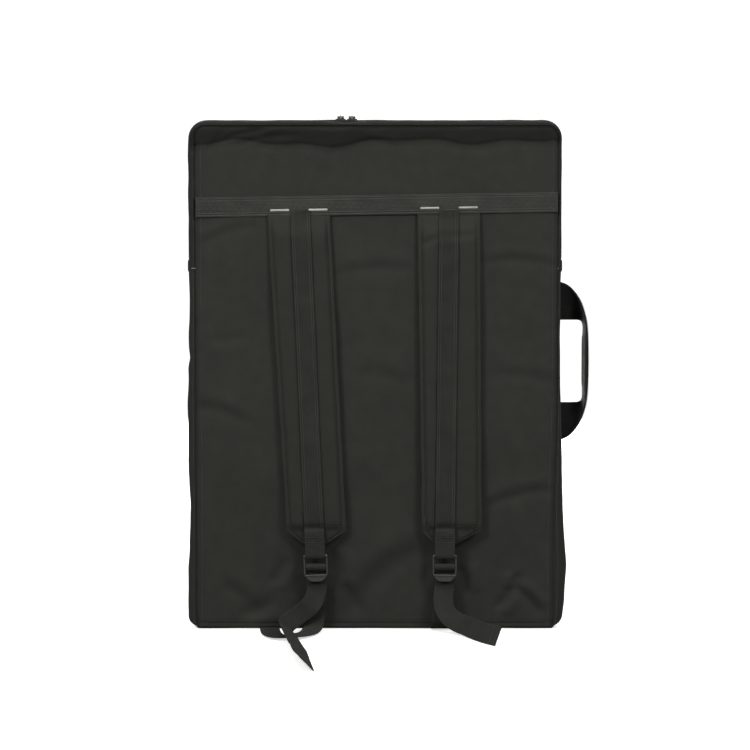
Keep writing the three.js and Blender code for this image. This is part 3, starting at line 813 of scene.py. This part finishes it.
def on_rim(rows, out, depth):
    """Points of a strip that stands out from the zip's way by out, at a depth."""
    return np.stack([rows[:, 0:1] + rows[:, 2:3] * out, np.broadcast_to(depth, out.shape),
                     rows[:, 1:2] + rows[:, 3:4] * out], -1)


def rim_wave(far, seed=61):
    """The loose line of the rim: it sags a little between the corners."""
    return 0.7 * swell(far, 0 * far, 150, seed) + 0.35 * swell(far, 0 * far, 48, seed + 1)


def slider_dip(rows):
    """Where the roll gives way a little to the sliders, on the straight top run."""
    return bump(rows[:, 0:1] + 37, 17) * (rows[:, 3:4] > 0.9)


def make_zip_gusset(side, sign, body):
    piece = Piece(f"rim_{side}")
    rows, far = zip_way(ZIP_END + 0.3)
    turn = np.linspace(0, 1, 15)
    start = HALF_DEPTH * np.cos(turn * math.acos((TAPE_EDGE / HALF_DEPTH) ** 1.5)) ** (2 / 3)
    depths = np.concatenate([start, [TAPE_EDGE - 0.5]])
    out, tucked = section(depths)
    out[-1] -= 0.9
    wave = rim_wave(far)[:, None] * (out / BULGE)[None, :]
    crush = 0.3 * swell(far[:, None], 3 * tucked[None, :], 33, 63 + sign) * smooth(out / 6)[None, :]
    crush = crush * smooth((tucked - TAPE_EDGE) / 5 + 0.25)[None, :]
    ridge = 0.35 * bump(depths - (TAPE_EDGE + 1.4), 1.0)[None, :]
    reach = out[None, :] + wave + crush + ridge
    if side == "back":
        reach = reach - 3.0 * slider_dip(rows) * smooth((out - 2) / 5)[None, :]
    deep = sign * np.broadcast_to(tucked, reach.shape)
    near = smooth((depths - TAPE_EDGE - 1) / 5)[None, :]
    relief = back_relief if side == "back" else front_relief
    edge = HALF_DEPTH + relief(rows[:, 0:1] - 0.2 * rows[:, 2:3], rows[:, 1:2] - 0.6 * rows[:, 3:4])
    deep = deep + sign * (edge - tucked[0]) * near
    reach[:, 0] -= 0.7
    grid = on_rim(rows, reach, deep)
    if side == "back":
        grid[..., 0] += lean_right(rows[:, 0:1], rows[:, 1:2]) * near * (1 - out / BULGE)[None, :]
    piece.slab(grid, CLOTH, RIM_CLOTH_AND_SHADE)
    normals = grid_normals(grid)
    for column in (3, len(depths) - 4):
        piece.row(grid[:, column], normals[:, column], THREAD, radius=0.28)
    finish(piece, "shell_fabric", f"zip_gusset_{side}", body=body)


def make_zip_half(side, sign):
    rows, far = zip_way(ZIP_END + 12)
    shown = np.linspace(TAPE_EDGE - 0.2, COIL_EDGE - 1.6, 11)
    depths = np.concatenate([[TAPE_EDGE + 2.2, TAPE_EDGE + 1], shown])
    # the tape's outer edge dips under the cloth
    out = BULGE * np.sqrt(1 - (depths / HALF_DEPTH) ** 3) - 0.5
    out = out - 1.0 * smooth((depths - shown[0]) / 1.2)
    wave = rim_wave(far)[:, None] * np.ones(len(depths))[None, :]
    ribs = 0.12 * np.sin(depths * TAU / 2.6)[None, :]
    reach = out[None, :] + wave + ribs
    if side == "back":
        reach = reach - 2.8 * slider_dip(rows) * smooth((depths - 6.5) / 6)[None, :]
    grid = on_rim(rows, reach, (sign * depths)[None, :])
    tape = Piece(f"tape_{side}")
    tape.slab(grid, 0.7, TAPE)
    normals = grid_normals(grid)
    for column in (5, -3):
        line, up = grid[:, column] + normals[:, column] * 0.1, normals[:, column]
        tape.row(line, up, BLACK_THREAD, radius=0.24, pitch=2.8, length=2.1)
    body = "case" if side == "back" else "front_flap"
    finish(tape, "zip_tape", f"zip_tape_{side}", body=body)
    coil = Piece(f"coil_{side}")
    pitch = 2.0
    stops = np.arange(1.0, far[-1] - 1.0, pitch) + (0 if sign < 0 else pitch / 2)
    at = lambda values: np.interp(stops, far, values)
    base = np.stack([at(rows[:, 0]), 0 * stops, at(rows[:, 1])], -1)
    away = unit(np.stack([at(rows[:, 2]), 0 * stops, at(rows[:, 3])], -1))
    level = BULGE + np.interp(stops, far, rim_wave(far))
    ahead = unit(np.gradient(base, axis=0))
    # each tooth: out of the tape, over, a bulb at the middle, and back underneath
    shape = [(3.5, -1.5), (3.2, -0.35), (1.9, 0.0), (0.5, -0.1),
             (-0.35, -0.75), (-0.2, -1.3), (1.6, -1.75), (3.3, -1.7)]
    fat = [0.4, 0.45, 0.46, 0.55, 0.6, 0.5, 0.42, 0.35]
    drift = [0.0, 0.0, 0.0, 0.0, 0.1, 0.3, 0.5, 0.8]
    angles = np.arange(6) * TAU / 6
    rings = []
    for k, (depth, height) in enumerate(shape):
        before, after = shape[max(k - 1, 0)], shape[min(k + 1, len(shape) - 1)]
        run = np.array([after[0] - before[0], after[1] - before[1]])
        run = run / np.linalg.norm(run)
        across = (away * run[0] - np.array([0, sign, 0]) * run[1])
        centre = (base + away * (level + height)[:, None] + np.array([0, sign * depth, 0])
                  + ahead * drift[k] * pitch * 0.5)
        ring = (centre[:, None] + across[:, None] * (fat[k] * np.cos(angles))[None, :, None]
                + ahead[:, None] * (0.82 * fat[k] * 1.5 * np.sin(angles))[None, :, None])
        rings.append(ring)
    points = np.stack(rings, 1)
    coil.add(points, np.zeros((points.size // 3, 2)), tube_copies(len(stops), len(shape), 6), COIL)
    finish(coil, "zip_coil", f"zip_coil_{side}", body=body, sharp=70)


def make_end_tab(side, sign):
    """The cloth patch that covers the zip's end."""
    piece = Piece(f"end_tab_{side}")
    z = np.linspace(ZIP_END - 4, ZIP_END + 11, 12)
    depths = np.linspace(-TAPE_EDGE + 0.4, TAPE_EDGE - 0.4, 18)
    out = BULGE * np.sqrt(1 - np.abs(depths / HALF_DEPTH) ** 3)
    lift = 1.0 - 0.7 * bump((z - z[0])[:, None], 1.2) - 0.6 * bump((z[-1] - z)[:, None], 1.2)
    lift = lift - 0.5 * bump((np.abs(depths) - 13.2)[None, :], 1.2)
    reach = out[None, :] + lift
    grid = np.stack([sign * (SEAM_X + reach), np.broadcast_to(depths, reach.shape),
                     np.broadcast_to(z[:, None], reach.shape)], -1)
    piece.slab(grid, 1.5, SHELL_DARK)
    normals = grid_normals(grid)
    for row in (2, 5):
        piece.row(grid[row, 1:-1], normals[row, 1:-1], THREAD, radius=0.28, pitch=2.6, length=2.1)
    finish(piece, "shell_fabric", f"zip_end_tab_{side}", body="case")


def make_bottom():
    piece = Piece("bottom_cloth")
    x, y = np.meshgrid(np.linspace(-228.5, 228.5, 118), np.linspace(-HALF_DEPTH + 0.6, HALF_DEPTH - 0.6, 24))
    lift = 0.35 + 0.3 * swell(x, 2 * y, 70, 71)
    z = np.clip(lift, 0.02, 0.8) + 1.2 * bump(HALF_DEPTH - np.abs(y), 1.5) * 0.6
    grid = np.stack([x, y, z], -1)
    piece.slab(grid, CLOTH, SHELL_DARK, out=np.broadcast_to(np.array([0, 0, -1.0]), grid.shape))
    finish(piece, "shell_fabric", "bottom_gusset", body="case")


for side_name, side_sign in (("left", -1), ("right", 1)):
    make_side(side_name, side_sign)
    make_end_tab(side_name, side_sign)
make_zip_gusset("back", -1, "case")
make_zip_gusset("front", 1, "front_flap")
make_zip_half("back", -1)
make_zip_half("front", 1)
make_bottom()


# ------------------------------------------------------------------ band and bar tacks
def band_y(x):
    """The band lies on the panel and rises over the strap ends that are sewn in under it."""
    out = HALF_DEPTH + 0.3 + WEBBING
    for strap in STRAPS.values():
        off = np.abs(x - strap["pad_top"])
        out = out + 1.5 * smooth((PAD_TOP_HALF + 7 - off) / 12)
    return out


def on_band(x, w, lift=0.0):
    """A point on the band, at w above its middle."""
    c, s = math.cos(BAND_TILT), math.sin(BAND_TILT)
    x, w = np.broadcast_arrays(np.asarray(x, float), np.asarray(w, float))
    x = x + lean_right(x, BAND_MIDDLE + 0 * x)
    top_ease = 0.9 * smooth((w + 2) / 15)
    flat = HALF_DEPTH + 0.3 + WEBBING
    out = flat + (band_y(x) - flat) * (1 - top_ease) + 0.25 * swell(x, w, 70, 81) + lift
    return np.stack([x * c, -out, BAND_MIDDLE + x * s + w], -1)


def make_band():
    piece = Piece("band")
    half = BAND_HEIGHT / 2
    x = np.arange(-229, 229.1, 2.0)
    w = np.concatenate([[-half], np.linspace(-half + 0.5, half - 0.5, 26), [half]])
    rounded = np.zeros(len(w))
    rounded[[0, -1]] = -0.45
    rows = (-10.6, -7.8, 7.8, 10.6)
    pressed = sum(-0.28 * bump(w - row, 0.8) for row in rows)
    grid = on_band(x[:, None], w[None, :], (rounded + pressed)[None, :])
    inner = grid + np.array([0, WEBBING - 0.2, 0])
    piece.rings(folded(grid, inner), BAND_WEB, cloth=laid(np.concatenate([w, w[::-1]]), x))
    for row in rows:
        piece.row(on_band(np.arange(-226, 226.1, 1.5), row, 0.12), (0, -1, 0), BAND_THREAD, radius=0.42)
    step, tall = 4.6, 4.4
    corners = np.arange(-224, 224, step)
    rise = np.where(np.arange(len(corners)) % 2 == 0, -tall, tall)
    points = on_band(corners, rise, 0.15)
    for a, b in zip(points[:-1], points[1:]):
        piece.row(np.array([a, b]), (0, -1, 0), THREAD, pitch=3.2, length=2.6, radius=0.33)
    finish(piece, "webbing", "strap_band", body="case")


def make_tack(side, sign, place):
    """A bar tack: thread laid along, and wrapped close together across it."""
    name = f"bar_tack_{side}_{place}"
    low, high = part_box(name)
    x0, x1 = low.x / MM, high.x / MM
    middle_z = (low.z + high.z) / 2 / MM
    piece = Piece(f"tack_{side}_{place}")
    x = np.arange(x0 + 0.6, x1 - 0.4, 0.62)
    slope = math.tan(BAND_TILT)
    z = middle_z + (x - (x0 + x1) / 2) * slope
    w = z - BAND_MIDDLE - x * slope
    base = on_band(x, w, 0.25)
    lean = np.where(np.arange(len(x)) % 2 == 0, 0.10, -0.10)
    ahead = np.stack([lean, 0 * x, np.ones(len(x))], -1)
    length = 2.7 + 0.25 * np.sin(np.arange(len(x)) * 2.4)
    for k in range(2):
        pick = slice(k, None, 2)
        out = np.broadcast_to([0, -1.0, 0], base[pick].shape)
        piece.threads(base[pick], ahead[pick], out, float(length[k]), 0.42, PALE_THREAD)
    for lift in (-0.7, 0.0, 0.7):
        line = on_band(np.array([x0 + 0.4, x1 - 0.4]), np.array([w[0] + lift, w[-1] + lift]), 0.05)
        piece.row(line, (0, -1, 0), PALE_THREAD, pitch=6, length=7, radius=0.4)
    finish(piece, "pale_thread", name, body="case", sharp=70)


make_band()
for side_name, strap_facts in STRAPS.items():
    for side_sign in (-1, 1):
        make_tack(side_name, side_sign, "outer" if side_sign * strap_facts["pad_top"] > 0 else "inner")


# ------------------------------------------------------------------ shoulder straps
PAD_STATIONS = np.concatenate([[7.0, 5.0, 3.0, 1.0], np.arange(-1, -396, -4.0),
                               [-396, -398, -400, -401.2, -402, -403, -405, -409, -414, -418, -420]])
PAD_ACROSS = 57


def pad_half(z):
    straight = PAD_TOP_HALF + (PAD_BOTTOM_HALF - PAD_TOP_HALF) * np.clip(-z / PAD_LENGTH, 0, 1)
    taper = smooth((-z - PAD_LENGTH) / PAD_TAPER) * 0.25 + 0.75 * np.clip((-z - PAD_LENGTH) / PAD_TAPER, 0, 1)
    return straight + (TIP_HALF - PAD_BOTTOM_HALF) * taper


def pad_middle(strap, z):
    straight = strap["pad_top"] + (strap["pad_bottom"] - strap["pad_top"]) * np.clip(-z / PAD_LENGTH, 0, 1)
    tip = web_at(strap, z)
    t = np.clip((-z - PAD_LENGTH) / PAD_TAPER, 0, 1)
    return straight + (tip - straight) * t


def pad_front(side, x, z):
    """How far the pad's face stands out of the strap's plane, at x from the pad's middle line."""
    strap = STRAPS[side]
    half = pad_half(z)
    edge = half - np.abs(x - pad_middle(strap, z))
    web = np.abs(x - web_at(strap, z))
    full = 7.3 + 0.35 * swell(x, z, 75, 91 + len(side)) + 0.16 * swell(x, z, 30, 95)
    # pillow between the sewn margin and the webbing in the middle
    rise = smooth((edge - 1.0) / 8.5)
    pillow = 1.3 * np.sqrt(np.clip(1 - ((edge - 13.5) / 13.5) ** 2, 0, 1))
    groove = 1.0 * bump(web - 13.4, 1.7)
    face = 2.6 + (full - 2.6) * rise + pillow * rise * (web > 12.9) - groove * rise
    face = face - 0.7 * bump(edge - 3.4, 0.9)
    top = smooth((3 - z) / 30)
    low = smooth((z + 403) / 10)
    thin = np.minimum(0.12 + 0.88 * top, 0.34 + 0.66 * low)
    face = 0.6 + (face - 0.6) * thin
    if side == "right":
        line = -27 + 0.2 * (x - strap["pad_top"]) + 3 * np.sin(x / 11)
        face = face - 2.6 * bump(z - line, 3.6) * smooth(edge / 10)
        face = np.maximum(face - 1.1 * smooth((z - line) / 10) * smooth(edge / 8), 0.9)
    return face


def make_pad(side):
    strap = STRAPS[side]
    piece = Piece(f"pad_{side}")
    z = PAD_STATIONS[:, None]
    s = np.sin(np.linspace(-1, 1, PAD_ACROSS) * math.pi / 2 * 0.92) / math.sin(math.pi / 2 * 0.92)
    half, middle = pad_half(z), pad_middle(strap, z)
    edge_wave = 0.35 * swell(z, 0 * z, 60, 101 + len(side))
    x = middle + (half + edge_wave) * s[None, :]
    front = pad_front(side, middle + half * s[None, :], z)
    front[:, [0, -1]] = 1.5
    back = np.full(front.shape, 0.15) + 0.5 * bump(1 - np.abs(s), 0.05)[None, :]
    tuck = np.where(z > 0.5, 0.8, 0.0) - 0.9 * smooth(z / 4)
    outer = on_strap(x, -(front + tuck), z + 0 * x)
    inner = on_strap(x, -(back + tuck * 0.6), z + 0 * x)
    outer[..., 1] = np.where(z > 0.5, np.maximum(outer[..., 1], -HALF_DEPTH - 2.6), outer[..., 1])
    flat = np.stack(np.broadcast_arrays(x, z + 0 * x), -1) * MM
    piece.rings(folded(outer, inner), STRAP, cloth=folded(flat, flat))

    def stitched(x, z, radius=0.3):
        piece.row(on_strap(x, -(pad_front(side, x, z) + 0.15), z), (0, -1, 0), THREAD, radius=radius)

    down = np.arange(-4, -399, -1.5)
    for sign in (-1, 1):
        stitched(pad_middle(strap, down) + sign * (pad_half(down) - 3.4), down, 0.32)
    across = np.arange(-PAD_BOTTOM_HALF + 3, PAD_BOTTOM_HALF - 3, 1.5) + strap["pad_bottom"]
    for height in (-397.5, -400.5):
        stitched(across, np.full(len(across), height))
    # the folded corners are sewn down beside the webbing
    down = -PAD_LENGTH - 1.5 - np.linspace(0, 1, 14) * (PAD_TAPER - 3)
    for sign in (-1, 1):
        stitched(pad_middle(strap, down) + sign * (pad_half(down) - 2.6), down)
    made = finish(piece, "strap_fabric", *[f"strap_{layer}_{side}" for layer in ("backing", "foam", "face")])
    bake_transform(made)


def make_strap_webbing(side):
    strap = STRAPS[side]
    piece = Piece(f"strap_web_{side}")
    heights = [6, 2, -3, -10, -18, -26, -34, -44, -60, *range(-90, -340, -40), -360, -380, -392, -399]
    faces = [float(pad_front(side, np.array(web_at(strap, z)), np.array(float(z)))) for z in heights]
    lay = [(z, -(face + 0.75)) for z, face in zip(heights, faces)]
    lay = [(z, max(y, -2.0) if z > 0 else y) for z, y in lay]
    turn = [
        (-403, -8.2), (-412, -8.6), (-428, -9.2), (-434.5, -9.3), (-437.4, -8.4), (-438.5, -6),
        (-437.4, -3.6), (-434.5, -2.7), (-429, -2.9), (-420.8, -3.4),
    ]
    stops = [[*on_strap(web_at(strap, z), y, z), 1, 0, 0] for z, y in lay + turn]
    line, across, up = ribbon(piece, stops, WEBBING_WIDTH, WEBBING, 4, WEB)
    out = -up if up[10, 1] > 0 else up
    front = line[:, 2] > on_strap(0, -9, -400)[2]
    front[len(lay) * 4:] = False
    for offset in (-11.2, -8.6, 8.6, 11.2):
        row = line[front] + across[front] * offset + out[front] * (WEBBING / 2 + 0.02)
        piece.row(row, out[front], THREAD, radius=0.33)
    # bar-tack rows that hold the webbing to the pad's end
    for z in (-405, -411, -417, -423):
        y = -9.2 - 0.55 + (0.6 if z > -408 else 0.2)
        ends = on_strap(web_at(strap, z) + np.array([-11.0, 11.0]), y, z)
        for lift, thread in ((0.0, THREAD), (0.8, BLACK_THREAD)):
            piece.row(ends + np.array([0, 0, lift]), (0, -1, 0), thread, pitch=2.2, length=2.6, radius=0.4)
    made = finish(piece, "webbing", f"strap_webbing_{side}")
    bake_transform(made)


def rounded_bar(piece, path, wide, deep, material, across, power=2.6, sides=16):
    """A bar with a rounded section along a path; wide is along the direction across, deep is along Y."""
    path = np.asarray(path, float)
    wide, deep = np.broadcast_to(wide, len(path)), np.broadcast_to(deep, len(path))
    angles = np.arange(sides) * TAU / sides
    c, s = np.cos(angles), np.sin(angles)
    a = np.sign(c) * np.abs(c) ** (2 / power)
    b = np.sign(s) * np.abs(s) ** (2 / power)
    ring = (path[:, None] + np.asarray(across, float)[None, None] * (wide[:, None] * a[None, :])[..., None]
            + np.array([0, 1.0, 0])[None, None] * (deep[:, None] * b[None, :])[..., None])
    piece.rings(ring, material)


def make_buckle(side):
    """A ladder lock: two rails, three bars and a thumb tab that turns out at the foot."""
    strap = STRAPS[side]
    piece = Piece(f"ladder_{side}")
    x_axis, z_axis = (1, 0, 0), (0, 0, 1)
    for sign in (-1, 1):
        z = np.linspace(-433.6, -461.5, 15)
        bow = -0.5 * np.sin(np.linspace(0, math.pi, 15))
        wide = 1.15 * np.sqrt(np.clip(1 - np.abs(np.linspace(-1, 1, 15)) ** 8, 0.15, 1))
        x = sign * (14.35 - 1.6 * smooth((-z - 457.5) / 5))
        rounded_bar(piece, np.stack([x, BUCKLE_Y + bow, z], -1), wide, 1.65 * wide / 1.15, BUCKLE, x_axis)
    for z, tall, deep, y in ((-435.0, 1.6, 1.6, 0.0), (-449.0, 1.55, 1.5, 0.3), (-460.0, 1.5, 1.7, 0.0)):
        x = np.linspace(-14.4, 14.4, 25)
        bow = -0.35 * np.cos(x / 14.4 * math.pi / 2)
        path = np.stack([x, BUCKLE_Y + y + bow, np.full(25, z)], -1)
        rounded_bar(piece, path, tall, deep, BUCKLE, z_axis)
    # grip ribs on the middle bar
    for x in np.linspace(-11.5, 11.5, 9):
        path = [[x, BUCKLE_Y - rise, z] for rise, z in ((1.35, -447.9), (1.5, -449), (1.35, -450.1))]
        rounded_bar(piece, path, [0.25, 0.4, 0.25], [0.2, 0.35, 0.2], BUCKLE, x_axis, sides=10)
    z = np.linspace(-459.5, -467.4, 12)
    t = np.linspace(0, 1, 12)
    half = 14.6 - 7.2 * t**1.3 - 0.8 * smooth((t - 0.85) / 0.15)
    y = BUCKLE_Y - 1.9 * t**2
    thick = 1.35 - 0.35 * t
    thick[-1] = 0.5
    s = np.sin(np.linspace(-1, 1, 15) * math.pi / 2)
    round_edge = np.sqrt(np.clip(1 - np.abs(s) ** 10, 0.08, 1))
    reach = thick[:, None] * round_edge
    front, rear = [np.stack(np.broadcast_arrays(half[:, None] * s, y[:, None] + face * reach, z[:, None]), -1)
                   for face in (-1, 1)]
    piece.rings(folded(front, rear), BUCKLE)
    lean = math.atan((strap["web_bottom"] - strap["web_top"]) / -BUCKLE_FOOT)
    c, sn = math.cos(-lean), math.sin(-lean)
    for k, points in enumerate(piece.points):
        x, y, z = points[:, 0], points[:, 1], points[:, 2] - UPPER_SLOT_TOP
        turned_x, turned_z = x * c + z * sn, -x * sn + z * c
        piece.points[k] = on_strap(turned_x + web_at(strap, UPPER_SLOT_TOP), y, turned_z + UPPER_SLOT_TOP)
    finish(piece, "buckle_plastic", f"buckle_{side}", body=f"buckle_{side}", sharp=40)


for side_name in STRAPS:
    make_pad(side_name)
    make_strap_webbing(side_name)
    make_buckle(side_name)


# ------------------------------------------------------------------ sliders and pulls
def finish_metal(name):
    """Sliders and pulls keep their CAD shapes, with softened edges."""
    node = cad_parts[name]
    node.data.materials.clear()
    node.data.materials.append(NICKEL)
    bevel = node.modifiers.new("edges", "BEVEL")
    bevel.width = METAL_EDGE * MM
    bevel.segments = 3
    bevel.limit_method = "ANGLE"
    bevel.angle_limit = math.radians(35)


for side_name in ("left", "right"):
    finish_metal(f"slider_{side_name}")
    finish_metal(f"pull_{side_name}")


# ------------------------------------------------------------------ side handle
INNER_EDGE = [
    [232, 23.9, 398], [243, 23.6, 398], [256, 24.5, 398],
    [268, 28.5, 397.2], [271.6, 31, 392.5], [272.3, 32, 376],
]
OUTER_EDGE = [
    [232, 23.9, 447.6], [243, 22.4, 447], [253.5, 18.5, 441.5],
    [265, 9.5, 425.5], [271, 0.5, 407], [273.8, -6, 388],
]


def mirrored(edge):
    return [[x, y, 2 * HANDLE_MIDDLE - z] for x, y, z in reversed(edge)]


def make_handle():
    per_stop = 9
    inner = curve_points(INNER_EDGE + mirrored(INNER_EDGE), per_stop)
    outer = curve_points(OUTER_EDGE + mirrored(OUTER_EDGE), per_stop)
    rows = len(inner)
    columns = 21
    s = (1 - np.cos(np.linspace(0, math.pi, columns))) / 2
    middle = inner[:, None] * (1 - s)[None, :, None] + outer[:, None] * s[None, :, None]
    ahead = unit(np.gradient(inner, axis=0) + np.gradient(outer, axis=0))
    out = unit(np.cross(outer - inner, ahead))
    half = 1.3 * np.sqrt(np.clip(1 - np.abs(2 * s - 1) ** 12, 0.05, 1))
    wave = 0.5 * swell(s[None, :] * 40, np.arange(rows)[:, None] * 2.0, 60, 121)
    wave = wave * smooth(np.minimum(np.arange(rows), rows - 1 - np.arange(rows)) / 8)[:, None]
    middle = middle + out[:, None] * wave[..., None]
    piece = Piece("handle_band")
    rise = out[:, None] * half[None, :, None]
    cloth = laid(np.concatenate([s, s[::-1]]) * HANDLE_WIDTH, distances(outer))
    piece.rings(folded(middle + rise, middle - rise), HANDLE_WEB, cloth=cloth)
    for column in (2, columns - 3):
        for face in (1, -1):
            line = middle[:, column] + out * face * 1.5
            piece.row(line, out * face, THREAD, radius=0.3)
    # two rows across each root, where it is sewn into the seam
    for k in (4, 6, rows - 7, rows - 5):
        for face in (1, -1):
            line = middle[k, 2:-2] + out[k] * face * 1.52
            piece.row(line, out[k] * face, THREAD, radius=0.3, pitch=2.8, length=2.2)
    made = finish(piece, "handle_webbing", "handle_webbing")
    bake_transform(made)
    # the grip: the band doubled over a soft core between the two roots
    pad = Piece("handle_grip")
    first, last = 5 * per_stop, 6 * per_stop
    t = np.linspace(0, 1, 25)
    a = inner[first] * (1 - t)[:, None] + inner[last] * t[:, None]
    b = outer[first] * (1 - t)[:, None] + outer[last] * t[:, None]
    wide = np.linspace(0, 1, 19)
    base = a[:, None] * (1 - wide)[None, :, None] + b[:, None] * wide[None, :, None]
    away = -unit(np.cross(b - a, np.broadcast_to(a[-1] - a[0], a.shape)))
    tall = 1.2 * np.sqrt(np.clip(1 - np.abs(2 * wide - 1) ** 4, 0, 1))
    ease = np.sqrt(np.clip(1 - np.abs(2 * t - 1) ** 10, 0.05, 1))
    top = base + away[:, None] * (1.5 + tall[None, :] * ease[:, None])[..., None]
    low = base + away[:, None] * 1.45
    pad.rings(folded(top, low), GRIP)
    for column in (2, 16):
        pad.row(top[:, column], away, THREAD, radius=0.3)
    finish(pad, "handle_webbing", "handle_grip_pad", body="handle")


make_handle()


# ------------------------------------------------------------------ studio
def make_studio():
    new = Recipe("studio_floor")
    shade = new.span(new.noise(new.place(), 3, 6), 0.955, 0.985, 0.3, 0.7)
    # the floor shows paler than the light it throws back up at the case
    seen = new.node("LightPath").outputs["Is Camera Ray"]
    new.paint(new.calc("MULTIPLY", shade, new.span(seen, 0.34, 1)), (0.955, 0.96, 0.94), clamped=True)
    new.feed("Emission Strength", new.span(seen, 0, 0.62))
    new.level("Emission Color", (1, 1, 0.985, 1))
    new.level("Roughness", 0.75)
    new.level("Specular IOR Level", 0.2)
    mesh = bpy.data.meshes.new("floor")
    mesh.from_pydata([(-9, -7, 0), (9, -7, 0), (9, 14, 0), (-9, 14, 0)], [], [(0, 1, 2, 3)])
    mesh.materials.append(new.material)
    floor = bpy.data.objects.new("floor", mesh)
    bpy.context.scene.collection.objects.link(floor)
    world = bpy.data.worlds.new("studio")
    bpy.context.scene.world = world
    world.use_nodes = True
    tree = world.node_tree
    background = tree.nodes["Background"]
    background.inputs[0].default_value = (1.0, 1.0, 0.99, 1)
    # the backdrop shows white, and lights the case more softly than it shows
    seen = tree.nodes.new("ShaderNodeLightPath")
    strength = tree.nodes.new("ShaderNodeMapRange")
    tree.links.new(seen.outputs["Is Camera Ray"], strength.inputs["Value"])
    strength.inputs["To Min"].default_value = 0.14
    strength.inputs["To Max"].default_value = 1.15
    tree.links.new(strength.outputs[0], background.inputs[1])
    for name, kind, place, power, size in (
        ("left_box", "AREA", (-1.2, -1.5, 1.6), 24, 0.6),
        ("right_box", "AREA", (1.2, -1.5, 1.6), 20, 0.6),
        ("overhead", "SUN", (0, -0.6, 3.0), 1.4, 0.7),
        ("rear_box", "AREA", (0, 3.4, 0.8), 70, 1.5),
    ):
        data = bpy.data.lights.new(name, kind)
        data.energy = power
        if kind == "SUN":
            data.angle = size
        else:
            data.size = size
        lamp = bpy.data.objects.new(name, data)
        bpy.context.scene.collection.objects.link(lamp)
        lamp.location = place
        lamp.visible_camera = False
        aim = Vector((0, 0, 0.45)) - Vector(place)
        lamp.rotation_euler = aim.to_track_quat("-Z", "Y").to_euler()
    settings = bpy.context.scene.view_settings
    settings.view_transform = "Standard"
    settings.look = "None"


make_studio()
